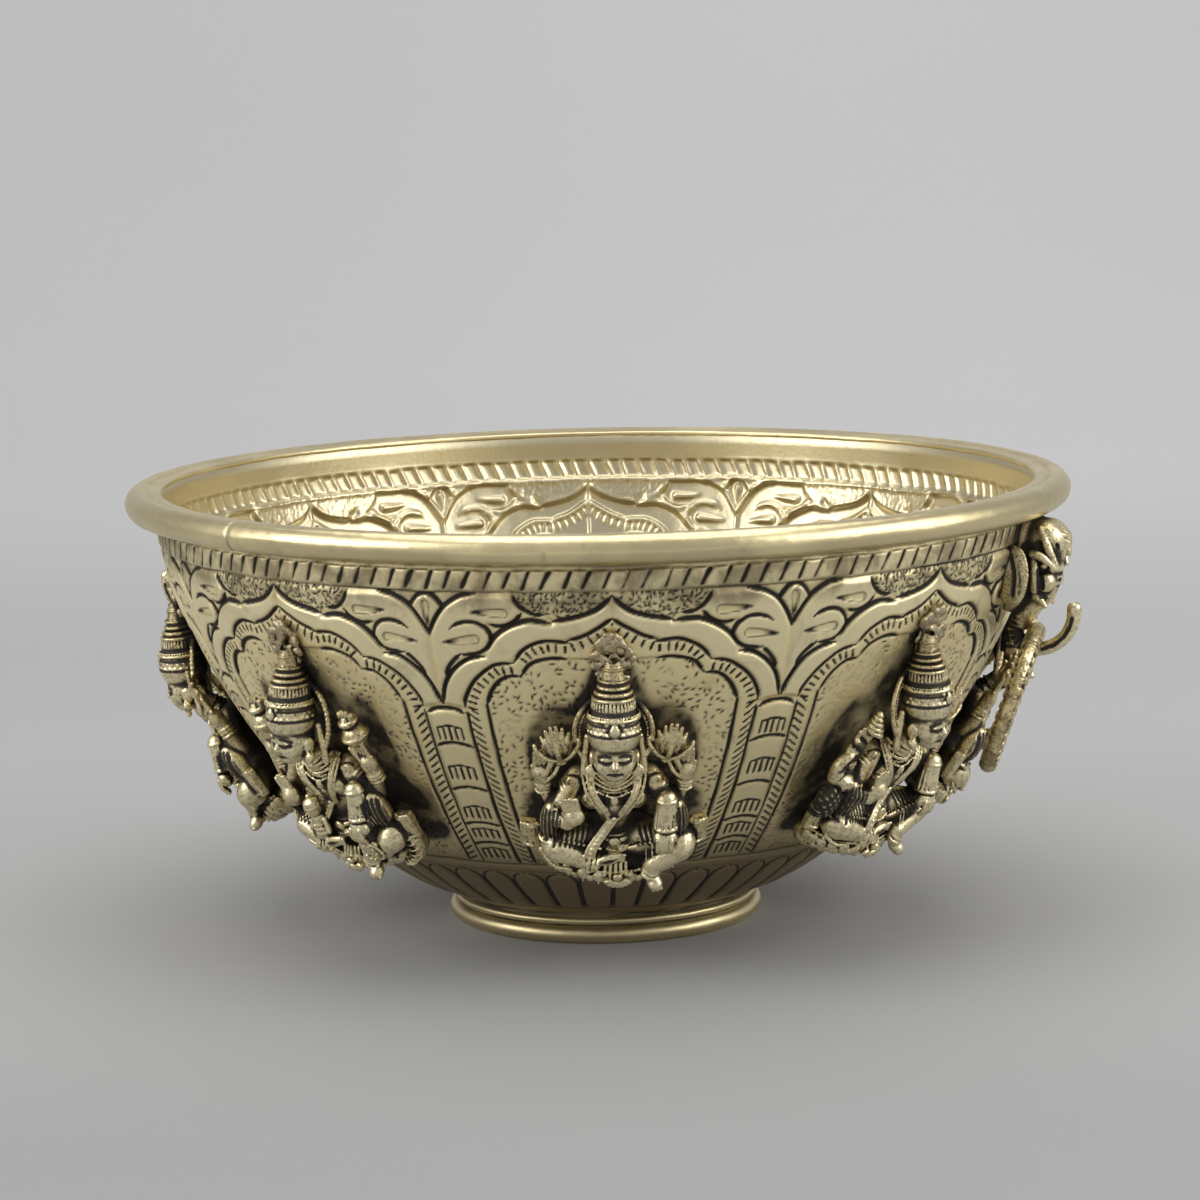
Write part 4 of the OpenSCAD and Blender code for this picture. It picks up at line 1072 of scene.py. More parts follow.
def conch_gifts(clay):
    raised(clay, -1)
    for k in range(5):
        clay.hoop((-17.6 - 0.3 * k, 52.4 + 1.6 * k, 10.4), 2.6 - 0.45 * k, 0.75 - 0.07 * k, 0.12, (0, 0, -14))
        clay.ball((-17.6 - 0.3 * k, 52.4 + 1.6 * k, 10.4), (2.6 - 0.42 * k, 1.2, 2.6 - 0.42 * k), 0.15)
    raised(clay, 1)
    bloom(clay, (16.5, 55.4, 9.6), 6.4, tip=-0.16)
    # a net bag hung at the side, and the lifted curl over it
    clay.ball((-24.4, 27.4, 11.4), (4.2, 6.4, 3.6), 0.3)
    for way in ((1, 0.75, 0), (1, -0.75, 0)):
        clay.pleats((-29, 21, 8), (-19.4, 34.5, 17), way, 1.7, 0.3)
    clay.ball((-22.6, 35.6, 12.4), (3.2, 2.4, 2.4), 0.3)
    clay.limb((-18.2, 33.8, 12.6), (-22.6, 35.0, 12.8), 1.6, 1.3, 0.3)
    for k in range(4):
        clay.limb((-24.2, 36.4 - 0.9 * k, 14.2), (-21.4, 36.2 - 0.9 * k, 14.8), 0.6, 0.6, 0.08)
    curl = [(-25.2, 35.6, 10.4), (-25.6, 40.0, 10.2), (-23.4, 43.4, 10.4), (-20.8, 43.6, 10.6),
            (-20.2, 46.8, 10.6), (-23.2, 49.2, 10.4)]
    clay.rope(curl, [2.3, 2.1, 1.8, 1.5, 1.2, 1.0], 0.2, steps=5)
    for p in eased(np.array(curl), 3)[3:]:
        clay.hoop(p, 1.7, 0.3, 0.06, (0, 0, 40), carve=True)


FIGURES = [
    ("book_figure", "Book_figure", -12, book_gifts, "plain"),
    ("shield_figure", "Shield_figure", 10, shield_gifts, "beaded"),
    ("elephant_figure", "Elephant_figure", 0, elephant_gifts, "beaded"),
    ("grain_figure", "Grain_figure", 12, grain_gifts, "plain"),
    ("coin_figure", "Coin_figure", -8, coin_gifts, "beaded"),
    ("child_figure", "Child_figure", -8, child_gifts, "beaded"),
    ("lotus_figure", "Lotus_figure", 0, lotus_gifts, "plain"),
    ("conch_figure", "Conch_figure", 12, conch_gifts, "plain"),
]


def cast_figures(voxel):
    """Lays every figure on the wall and returns the block of each for the painted shade and stain on the wall
    round it.
    """
    blocks = []
    for number, (node, name, turn, gifts, halo) in enumerate(FIGURES):
        clay = Clay((-29, -3, -4), (29, 82, 25), voxel)
        seated(clay, turn, halo)
        gifts(clay)
        bare = clay.field.copy()
        gap = wall_gap(clay)
        clay.field = np.maximum(bare, -(gap + 0.4))
        points, quads, hidden = clay.skin(0.05, 11 + number, (bare < 0) | (gap < 0))
        azimuth = ARCH_HALF + ARCH_STEP * number
        # painted shade: points close to the wall are darkened too, and this is stored with the patina
        occlusion, top = smooth(3.4, 0.6, clay.sample(gap, points)), smooth(5.0, 18.0, points[:, 2])
        make_piece(name, on_wall(points, azimuth), [quads], "cast_brass", stands_for=(node,),
                   marks={"patina_and_shade": np.clip(hidden + occlusion, 0, 1), "rubbed": top})
        blocks.append((azimuth, clay, bare))
    return blocks


STAIN_HALF, STAIN_LOW, STAIN_HIGH = 33, 30, 116


def bowl_wall(blocks):
    """The wall, one sheet with its floor: outside, over the lip and down inside."""
    cols, inner_cols, floor_cols = ((1728, 864, 216))
    rows = int(profile_s[-1] / (0.5)) + 1
    s = np.linspace(0, profile_s[-1], rows)
    z = np.interp(s, profile_s, profile_z)
    angles, heights = np.meshgrid(around(cols), z)
    rise, dark = chase_wall(angles, heights)
    ends = smooth(0, 2.0, s)[:, None] * smooth(0, 1.5, profile_s[-1] - s)[:, None]
    rise = rise * ends - 0.25
    r, nr, nz = wall_r(z), np.interp(z, profile_z, profile_nr), np.interp(z, profile_z, profile_nz)
    outer = round_points((r + 0 * rise.T).T + rise * nr[:, None], heights + rise * nz[:, None], angles)

    # the dark halo round each figure and behind each elephant head: partly real stain, where polish never
    # reaches, and partly painted shade of the cast work on the wall
    shade_and_stain = np.zeros(len(outer))
    for azimuth, clay, bare in blocks:
        turn = (np.degrees(angles) - azimuth + 180) % 360 - 180
        beside = np.abs(turn) * np.radians(1) * r[:, None] < STAIN_HALF
        at = np.nonzero((beside & (heights > STAIN_LOW) & (heights < STAIN_HIGH)).ravel())[0]
        places = off_wall(outer[at], azimuth)
        inside = ((places > clay.low + 1) & (places < clay.low + (clay.size - 2) * clay.voxel)).all(1)
        outline = np.repeat((bare < 0).any(axis=2, keepdims=True), 2, 2).astype(np.float32)
        crowd = box_mean(outline, max(1, round(2.4 / clay.voxel)), 3)
        near = np.maximum(smooth(2.9, 0.5, clay.sample(bare, places[inside] + [0, 0, 1.2])),
                          smooth(0.03, 0.42, clay.sample(crowd, places[inside])))
        half = clay.size[0] * clay.voxel / 2
        edge = np.abs(places[inside, 0] - clay.low[0] - half) - half
        shade_and_stain[at[inside]] = np.maximum(shade_and_stain[at[inside]], near * smooth(-1.0, -5.0, edge))
    # painted shade with stain on the wall round and under each elephant head
    for azimuth in (0, math.pi):
        turn = np.abs((angles - azimuth + math.pi) % (2 * math.pi) - math.pi) * r[:, None]
        under = np.hypot(turn / 21, (heights - 124) / 18)
        shade_and_stain = np.maximum(shade_and_stain, (0.85 * smooth(1.05, 0.6, under)).ravel())
    blot = (0.85 + 0.32 * cloud_round(angles, s[:, None] / 7, 28, 120, 31)
            + 0.22 * cloud_round(angles, s[:, None] / 2.6, 76, 300, 34))
    shade_and_stain = np.clip(shade_and_stain.reshape(angles.shape) * blot, 0, 1)

    # the inner face shows the back of the chasing, finely near the lip where it is seen
    def inner_face(high, count):
        at_angle, at_z = np.meshgrid(around(count), high)
        thumbs = (0.1 * cloud_round(at_angle, along_wall(at_z) / 10, 20, 90, 32)
                  + 0.07 * cloud_round(at_angle, along_wall(at_z) / 4.5, 42, 210, 33))
        row = np.clip(np.interp(along_wall(high), s, np.arange(rows)).astype(int), 0, rows - 1)
        front = np.minimum(rise[row], rise[np.minimum(row + 1, rows - 1)])[:, ::cols // count]
        shift = chase_wall(at_angle, at_z, True)[0] + thumbs
        shift = shift * smooth(WALL_TOP, WALL_TOP - 2.2, at_z) * smooth(FOOT_H, 16, at_z)
        shift = np.minimum(shift - SHEET, front - 0.35)
        shown.append(shift)
        out, up = (np.interp(at_z, profile_z, normal) for normal in (profile_nr, profile_nz))
        return round_points(wall_r(at_z) + shift * out, at_z + shift * up, at_angle)

    shown = []
    upper_face = inner_face(np.linspace(WALL_TOP, 92.5, 62), cols)
    lower_face = inner_face(np.concatenate([np.linspace(91.5, 12, 62), [9.4, 8.3, FOOT_H]]),
                            inner_cols)

    def ring(radius, height, count):
        return round_points(radius + 0 * around(count), height, around(count))

    parts, faces, total = [], [], 0

    def add(points):
        nonlocal total
        parts.append(points)
        total += len(points)
        return total - len(points)

    centre = add(np.array([[0, 0, FOOT_H]]))
    discs = [add(ring(radius, FOOT_H, floor_cols)) for radius in (10, 20, 30, 38)]
    k = np.arange(floor_cols)
    faces.append(np.stack([0 * k + centre, discs[0] + (k + 1) % floor_cols, discs[0] + k], -1))
    faces.append(turned(4, floor_cols, discs[0]))
    outside = add(outer)
    faces.append(bridge(outside, cols, discs[-1], floor_cols, flip=True))
    for radius, height in ((LIP_R, 138.0), (LIP_R, 142.3), (141.25, LIP_TOP)):
        add(ring(radius, height, cols))
    faces.append(turned(rows + 3, cols, outside))
    lip = total - cols
    add(ring(140.5, 142.3, cols))
    add(ring(140.5, 138.0, cols))
    add(upper_face)
    faces.append(turned(3 + len(upper_face) // cols, cols, lip))
    lower = add(lower_face)
    faces.append(bridge(lower - cols, cols, lower, inner_cols))
    faces.append(turned(len(lower_face) // inner_cols, inner_cols, lower))
    last = total - inner_cols
    floor = [add(ring(radius, FOOT_H + SHEET, floor_cols)) for radius in (34, 26, 18, 10)]
    faces.append(bridge(last, inner_cols, floor[0], floor_cols))
    faces.append(turned(4, floor_cols, floor[0]))
    middle = add(np.array([[0, 0, FOOT_H + SHEET]]))
    faces.append(np.stack([floor[-1] + k, floor[-1] + (k + 1) % floor_cols, 0 * k + middle], -1))

    # bloom carries the painted shade and stain round the figures and the heads
    marks = {mark: np.zeros(total) for mark in ("patina_and_shade", "bloom", "raised", "within")}
    here = slice(outside, outside + len(outer))
    marks["patina_and_shade"][here], marks["bloom"][here] = dark.ravel(), shade_and_stain.ravel()
    marks["raised"][here] = np.clip(rise + 0.25, 0, 1).ravel()
    marks["within"][lip + cols:] = 1
    sunk = np.concatenate([v.ravel() for v in shown]) + SHEET
    marks["raised"][lip + 3 * cols:last + inner_cols] = np.clip(0.3 - 0.5 * sunk, 0, 1)
    make_piece("Embossed_bowl_wall", np.concatenate(parts), faces, "embossed_brass",
               stands_for=("bowl_shell",), marks=marks)


def rim_bead():
    """The round bead with the lip's inner slope, and the butt joint that shows on the left."""
    cols = 1440
    arc = np.radians(np.linspace(-150, 118, 30))
    r = np.concatenate([BEAD_AT[0] + BEAD_R * np.cos(arc),
                        [143.9, 142.6, 141.4, 140.5, 140.15, 140.2, 140.6, 141.2, 141.4, 141.6]])
    z = np.concatenate([BEAD_AT[1] + BEAD_R * np.sin(arc),
                        [143.12, 143.0, 142.98, 142.75, 142.2, 141.3, 140.7, 140.2, 138.6, 136.9]])
    angles, radii = np.meshgrid(around(cols), r)
    heights = np.repeat(z[:, None], cols, 1)
    rows = np.arange(len(r))[:, None] / 2.5
    turn = (np.degrees(angles) + BUTT_JOINT + 180) % 360 - 180
    joint = stripe(turn, 0.2) * (np.arange(len(r)) < 30)[:, None]
    wobble = (-0.1 + 0.1 * cloud_round(angles, rows, 16, 40, 41)
              - 0.05 * (1 - cloud_round(angles, rows, 16, 300, 42)) - 0.28 * joint)
    outward = np.concatenate([arc, np.radians([118, 100, 90, 110, 170, 200, 230, 200, 180, 180])])[:, None]
    radii, heights = radii + wobble * np.cos(outward), heights + wobble * np.sin(outward)
    seam = np.zeros(len(r))
    seam[:5], seam[28:31], seam[-4:] = (1, 1, 0.9, 0.55, 0.15), (0.2, 0.5, 0.3), 1
    patina_and_shade = np.maximum(seam[:, None] * (0.8 + 0.35 * cloud_round(angles, rows, 16, 130, 44)), 0.75 * joint)
    make_piece("Rim_bead_round", round_points(radii, heights, angles), [turned(len(r), cols, closed=True)],
               "polished_brass", stands_for=("rim_bead",), marks={"patina_and_shade": np.clip(patina_and_shade, 0, 1).ravel()})


def foot_ring():
    """The turned foot: a large round, a groove and a small bead."""
    cols = 360
    main, bead = np.radians(np.linspace(-90, 72, 15)), np.radians(np.linspace(-66, 96, 10))
    r = np.concatenate([[43.0, 43.0, 43.2, 43.9, 45.1, 46.6], 48.1 + 2.9 * np.cos(main), [48.55, 48.3],
                        48.1 + 1.3 * np.cos(bead), [47.7, 47.75, 48.3, 49.1, 48.6, 45.4]])
    z = np.concatenate([[8.5, 3.2, 0.7, 0.1, 0, 0], 2.9 + 2.9 * np.sin(main), [5.72, 5.82],
                        7.1 + 1.3 * np.sin(bead), [8.5, 8.85, 9.35, 9.85, 10.1, 9.2]])
    grooved = np.concatenate([[0, 0, 0, 0.2, 0, 0], 0 * main, [1, 1],
                              [1, 0.8, 0.4, 0, 0, 0, 0, 0.1, 0.4, 0.8], [1, 1, 0.9, 1, 1, 1]])
    angles, radii = np.meshgrid(around(cols), r)
    heights = np.repeat(z[:, None], cols, 1)
    rows = np.arange(len(r))[:, None]
    dents = 0.06 * (cloud_round(angles, rows / 5, 9, 60, 51) - 1) * (z[:, None] > 0.05)
    patina_and_shade = grooved[:, None] * (0.85 + 0.3 * cloud_round(angles, rows / 3, 14, 50, 52))
    make_piece("Foot_ring_turned", round_points(radii + dents, heights, angles),
               [turned(len(r), cols, closed=True)], "polished_brass", stands_for=("foot_ring",),
               marks={"patina_and_shade": np.clip(patina_and_shade, 0, 1).ravel()})


def elephant_bracket(side, name, node, voxel):
    """The cast head with its trunk, which carries the ring handle. side is 1 on the right and -1 on the left."""
    clay = Clay((-20, 87, 135), (20, 135, 161), voxel)
    # neck against the wall, twin forehead, cheeks and the top of the trunk
    clay.limb((0, 128, 141), (0, 110, 138), 8.5, 6.5, 1.5)
    clay.limb((0, 125.5, 147.0), (0, 115.5, 146.5), 8.0, 6.4, 1.5)
    clay.ball((0, 126.0, 149.4), (5.8, 7.0, 7.0), 1.2)
    clay.limb((0, 117.5, 148.6), (0, 110.5, 147.4), 5.0, 4.4, 1.5)
    for _ in clay.sides():
        clay.ball((3.6, 127.2, 148.6), (4.8, 5.8, 6.4), 1.0)
        clay.ball((5.6, 114.3, 149.8), (3.1, 3.3, 3.0), 0.7)
        # ear: a broad flap that faces sideways, with a thin rolled edge and two folds
        clay.limb((6.0, 119.5, 142.0), (11.6, 118.5, 140.8), 4.4, 3.0, 1.5)
        clay.ball((12.6, 116.8, 140.6), (2.2, 9.8, 5.4), 0.6, (0, 8, 0))
        clay.ball((13.4, 119.0, 138.8), (1.7, 4.6, 2.6), 0.8)
        clay.rope([(12.6, 125.8, 140.2), (13.0, 124.4, 144.0), (13.2, 118.6, 145.7), (13.2, 112.4, 144.7),
                   (13.0, 107.8, 141.6)], 0.55, 0.3, steps=4)
        clay.rope([(14.4, 123.4, 141.0), (14.9, 117.6, 142.2), (14.3, 111.0, 141.6)], 0.22, 0.3, steps=4,
                  carve=True)
        clay.rope([(14.0, 121.0, 143.2), (14.2, 116.0, 143.9), (13.9, 111.6, 143.4)], 0.14, 0.2, steps=4,
                  carve=True)
        # brow fold, deep triangle behind it and the eye's own ridge
        clay.rope([(7.0, 131.0, 148.3), (7.9, 125.0, 151.0), (6.0, 118.6, 153.4)], [0.8, 1.3, 0.9], 0.5,
                  steps=5)
        clay.rope([(5.2, 131.0, 150.2), (6.0, 125.6, 153.4), (4.4, 120.0, 155.2)], 0.45, 0.2, steps=5,
                  carve=True)
        clay.ball((9.4, 125.6, 148.2), (1.6, 2.6, 1.5), 0.3, carve=True)
        clay.rope([(8.8, 123.2, 145.8), (8.8, 122.3, 149.3), (6.6, 118.6, 152.4)], 1.3, 0.4, steps=5)
        clay.ball((8.0, 119.4, 149.8), (1.0, 0.95, 1.3), 0.15)
        clay.hoop((8.2, 119.4, 149.8), 1.45, 0.26, 0.1, (0, 0, 90), carve=True)
        clay.rope([(8.6, 121.0, 146.6), (8.9, 116.4, 147.0), (8.2, 112.0, 147.0)], 1.35, 0.4, steps=4)
        clay.limb((9.4, 117.8, 149.0), (8.6, 110.4, 148.9), 1.0, 0.9, 0.3, carve=True)
        clay.rope([(9.6, 124.5, 144.4), (9.9, 118.0, 144.6), (9.2, 110.8, 144.4)], 0.7, 0.2, steps=4,
                  carve=True)
        # jaw and small tusk
        clay.limb((3.8, 110.0, 146.0), (5.0, 106.4, 149.4), 1.8, 0.7, 0.5)
        clay.rope([(6.6, 111.6, 146.0), (6.0, 110.4, 149.0), (4.0, 110.8, 151.6)], 0.35, 0.2, steps=4,
                  carve=True)
    for k in range(5):
        clay.rope([(-5.2, 117.0 - 1.9 * k, 150.2 - 0.5 * k), (0, 116.2 - 1.9 * k, 154.0 - 0.9 * k),
                   (5.2, 117.0 - 1.9 * k, 150.2 - 0.5 * k)], 0.3, 0.15, steps=5, carve=True)
    # head cloth: a band, beads and a drop over the brow
    clay.rope([(-6.8, 130.4, 151.0), (-3.6, 128.8, 154.6), (0, 127.4, 156.0), (3.6, 128.8, 154.6),
               (6.8, 130.4, 151.0)], 0.6, 0.2, steps=5)
    clay.beads([(-6.6, 128.8, 152.0), (-3.6, 127.2, 155.2), (0, 125.6, 156.3), (3.6, 127.2, 155.2),
                (6.6, 128.8, 152.0)], 0.42, 1.0)
    clay.ball((0, 123.4, 156.0), (1.2, 1.8, 0.6), 0.15)
    # the trunk: down against the wall, a tight crook for the ring, and outward to its curled tip
    inner = [(0, 111, 146.6), (0, 105, 142.6), (0, 98.4, 138.8)]
    crook, outer = ([(0, y + r * math.sin(a), 145.2 + r * math.cos(a)) for a in np.radians(np.linspace(*turn))]
                    for y, r, turn in ((98.4, 6.4, (180, 270, 9)), (104.3, 12.15, (272, 360, 10))))
    clay.rope(inner, [4.6, 3.6, 2.4], 0.8, steps=5)
    clay.rope(crook + outer + [(0, 105.4, 157.4)], [2.4, 2.15, 2.1, 2.05, 2.2], 0.3)
    clay.ball((0, 105.4, 157.3), (2.1, 1.7, 2.15), 0.3)
    clay.ball((0, 106.9, 157.4), (1.0, 0.8, 1.1), 0.3, carve=True)
    path = np.array([(104.0, 140.8), (100.5, 139.4)] + [(p[1], p[2]) for p in crook + outer[1:]])
    lengths = run_along(path)
    for at in np.arange(0.8, lengths[-1] * 0.42, 1.5):
        y, z = place_on(path, lengths, at)
        dy, dz = place_on(path, lengths, at + 0.5) - (y, z)
        clay.hoop((0, y, z), 2.5, 0.26, 0.25, (math.degrees(math.atan2(dz, dy)), 0, 0), carve=True)
    for _ in clay.sides():
        clay.rope([(2.4 - 0.18 * (k % 3), p[1] + 0.3 * (k % 2), p[2]) for k, p in enumerate(outer[1:-1])], 0.3,
                  0.1, carve=True)
    x, y, z = np.ix_(*clay.axes)
    gap = (np.hypot(z, x) - wall_r(y)) * np.interp(y, profile_z, profile_nr)
    clay.field = np.maximum(clay.field, -(gap + 0.3)).astype(np.float32)
    points, quads, hidden = clay.skin(0.04, 61)
    reach = np.hypot(points[:, 2], points[:, 0]) - wall_r(points[:, 1])
    place = np.stack([points[:, 2] * side, points[:, 0] * side, points[:, 1]], -1)
    # patina in the recesses, with painted shade there and close to the wall
    make_piece(name, place, [quads], "cast_brass", stands_for=(node,),
               marks={"patina_and_shade": np.clip(hidden + 0.6 * smooth(1.5, 0.2, reach), 0, 1),
                      "rubbed": smooth(3, 16, reach)})


RING_AT, NICK_PITCH = np.array([137.593, 0, 76.592]), 3.6


def ring_handle(side, name, node, body):
    """The loose ring, hanging a little inward from the crook; its outer face is hatched and nicked."""
    ring_r, rod_r, tilt, turn = 22.25, 3.0, math.radians(20), math.radians(10)
    cols, rows = ((720, 64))
    psi, theta = np.meshgrid(around(cols), around(rows))
    across = ((theta + math.pi) % (2 * math.pi) - math.pi) * rod_r
    run = psi * ring_r
    nick = np.zeros(psi.shape)
    for edge, shift in ((1, 0.0), (-1, 0.5)):
        step = np.abs((run / NICK_PITCH + shift + 0.05 * cloud_round(psi, 0, 1, 40, 75)) % 1 - 0.5) * NICK_PITCH
        band = smooth(1.9, 3.3, across * edge) * smooth(6.6, 5.6, across * edge)
        nick = np.maximum(nick, smooth(0.95, 0.15, step) * band)
    face = smooth(3.0, 2.4, np.abs(across))
    punch = cloud(psi * 310 / (2 * math.pi) + 0.6 * theta, theta * 16 / (2 * math.pi), 16, 310, 73)
    hatch = smooth(0.1, 0.75, punch) * face
    lip = stripe(np.abs(across) - 2.6, 0.3)
    inner = smooth(0.1, 0.9, -np.cos(theta))
    worn = 0.05 * cloud_round(psi, theta * 8 / (2 * math.pi), 8, 60, 71)
    rod = rod_r - 0.14 - 1.3 * nick - 0.18 * hatch - 0.10 * lip - 0.2 * face * (1 - np.abs(across) / 6) + worn
    out, side_way = np.array([math.cos(tilt), 0, -math.sin(tilt)]), np.array([0, 1.0, 0])
    down = np.array([-math.sin(tilt), 0, -math.cos(tilt)])
    normal = out * math.cos(turn) + side_way * math.sin(turn)
    side_way = side_way * math.cos(turn) - out * math.sin(turn)
    spoke = np.cos(psi)[..., None] * down + np.sin(psi)[..., None] * side_way
    points = (RING_AT + spoke * (ring_r + rod * np.cos(theta))[..., None]
              + normal * (rod * np.sin(theta))[..., None])
    # the ring's inner face is made darker
    inner_face_dark = 0.6 * inner * (1 + cloud_round(psi, 0, 1, 40, 72))
    patina_and_shade = np.clip(1.1 * nick + 0.4 * hatch + 0.45 * lip + inner_face_dark, 0, 1)
    make_piece(name, points.reshape(-1, 3) * [side, 1, 1], [turned(rows, cols, closed=True, flip=side > 0)],
               "ring_brass", body=body, stands_for=(node,), marks={"patina_and_shade": patina_and_shade.ravel()})


def braze_blobs(voxel):
    """Rough filler left where each crown tip is brazed to the wall."""
    parts, faces, marks, total = [], [], [], 0
    for number in range(ARCHES):
        chance = np.random.default_rng(80 + number)
        clay = Clay((-14, 70, -6), (14, 100, 8), voxel)
        gap = wall_gap(clay)
        for _ in range(120):
            y = chance.uniform(72, 89)
            half = np.interp(y, [72, 77, 82, 86, 89], [3.0, 5.0, 6.6, 5.0, 1.8])
            x = chance.uniform(-half, half)
            foot = np.interp(y, [74, 86, 96], [3.1, 0.6, -2.8]) - 0.05 * abs(x)
            clay.ball((x, y, foot), tuple(chance.uniform(0.5, 1.3, 2)) + (chance.uniform(0.5, 0.9),), 0.9,
                      (0, 0, chance.uniform(-60, 60)))
            if chance.random() < 0.5:
                clay.ball((x + 0.6, y, foot + 0.7), chance.uniform(0.3, 0.5), 0.15, carve=chance.random() < 0.5)
        clay.field = np.maximum(clay.field, -(gap + 0.35)).astype(np.float32)
        # the filler's recesses get patina with painted shade
        points, quads, hidden = clay.skin(0.16, 90 + number)
        parts.append(on_wall(points, ARCH_HALF + ARCH_STEP * number))
        faces.append(quads + total)
        marks.append(hidden)
        total += len(points)
    make_piece("Braze_filler_spots", np.concatenate(parts), faces, "braze_metal", stands_for=("braze_spots",),
               marks={"patina_and_shade": np.concatenate(marks)})


# Finishes

class Value:
    """A socket of a material; an expression on it adds Math nodes."""

    def __init__(self, finish, socket):
        self.finish, self.socket = finish, socket

    def math(self, operation, *others):
        numbers = {k: v for k, v in enumerate((self,) + others)}
        return self.finish.node("ShaderNodeMath", {"operation": operation}, numbers)

    def __add__(self, other): return self.math("ADD", other)
    def __mul__(self, other): return self.math("MULTIPLY", other)
    def __sub__(self, other): return self.math("SUBTRACT", other)

    def __rsub__(self, other):
        return self.finish.node("ShaderNodeMath", {"operation": "SUBTRACT"}, {0: other, 1: self})

    __radd__, __rmul__ = __add__, __mul__

    def clip(self):
        return self.finish.node("ShaderNodeMath", {"operation": "ADD", "use_clamp": True}, {0: self, 1: 0.0})

    def most(self, other):
        return self.math("MAXIMUM", other)

    def ramp(self, low, high):
        return self.finish.node("ShaderNodeMapRange", {"interpolation_type": "SMOOTHSTEP"},
                                {0: self, 1: low, 2: high})


class Finish:
    """A metal finish made of nodes."""

    def __init__(self, name):
        self.material = bpy.data.materials.new(name)
        self.material.use_nodes = True
        self.tree = self.material.node_tree
        self.shader = self.tree.nodes["Principled BSDF"]
        self.place = self.node("ShaderNodeTexCoord", {}, {}, "Object")
        self.base = None

    def node(self, kind, settings, sockets, out=0):
        made = self.tree.nodes.new(kind)
        for key, value in settings.items():
            setattr(made, key, value)
        self.feed(made, sockets)
        return Value(self, made.outputs[out])

    def feed(self, made, sockets):
        for key, value in sockets.items():
            if isinstance(value, Value):
                self.tree.links.new(value.socket, made.inputs[key])
            else:
                made.inputs[key].default_value = value

    def mark(self, name):
        return self.node("ShaderNodeAttribute", {"attribute_name": name}, {}, "Fac")

    def noise(self, per_metre, detail=3.0, roughness=0.55, warp=0.0, place=None):
        sockets = {"Vector": place or self.place, "Scale": per_metre, "Detail": detail,
                   "Roughness": roughness, "Distortion": warp}
        return self.node("ShaderNodeTexNoise", {}, sockets, "Fac")

    def along(self, axis):
        """The place along one axis, in metres."""
        return self.node("ShaderNodeSeparateXYZ", {}, {0: self.place}, axis)

    def stretched(self, scale):
        """The place, scaled along each axis."""
        return self.node("ShaderNodeVectorMath", {"operation": "MULTIPLY"}, {0: self.place, 1: scale})

    def colour(self, share, a, b):
        four = [v if isinstance(v, Value) else (*v, 1.0) for v in (a, b)]
        return self.node("ShaderNodeMix", {"data_type": "RGBA"}, {0: share, 6: four[0], 7: four[1]}, 2)

    def coat(self, share, colour):
        """Lays a colour over the base by its share."""
        self.base = self.colour(share.clip(), self.base, colour)

    def done(self, roughness, metallic, fine, depth):
        """Feeds the shader; fine is the surface's finest relief and depth its height in metres."""
        relief = self.node("ShaderNodeBump", {}, {"Height": fine, "Distance": depth, "Strength": 1.0}, "Normal")
        self.feed(self.shader, {"Base Color": self.base, "Roughness": roughness.clip(),
                                "Metallic": metallic.clip(), "Normal": relief})
        return self.material


BRASS = (0.88, 0.755, 0.435)
WARM_BRASS = (0.81, 0.655, 0.34)
PALE_BRASS = (0.94, 0.855, 0.585)
WALL_BRASS = (0.95, 0.825, 0.485)
# a darker copy of the brass for the inner face, painted as shade
INNER_SHADED_BRASS = (0.60, 0.53, 0.355)
DULL_BRASS = (0.68, 0.575, 0.335)
STAIN = (0.24, 0.175, 0.095)
LOW_WALL_SHADE = (0.20, 0.145, 0.08)
# brown painted as shade on the lower wall
LIP_BROWN = (0.17, 0.125, 0.07)
# dark brown of the painted shade and stain round the figures and heads
SHADE_AND_STAIN_BROWN = (0.10, 0.078, 0.045)
CAST_BROWN = (0.12, 0.09, 0.05)
FILLER_DARK, FILLER_LIGHT, FILLER_GRIT = (0.38, 0.31, 0.19), (0.70, 0.60, 0.39), (0.13, 0.09, 0.05)
# near black for soot and patina in lines, and for painted shade in the deepest hollows and halos
SOOT_AND_SHADE_BLACK = (0.022, 0.017, 0.011)


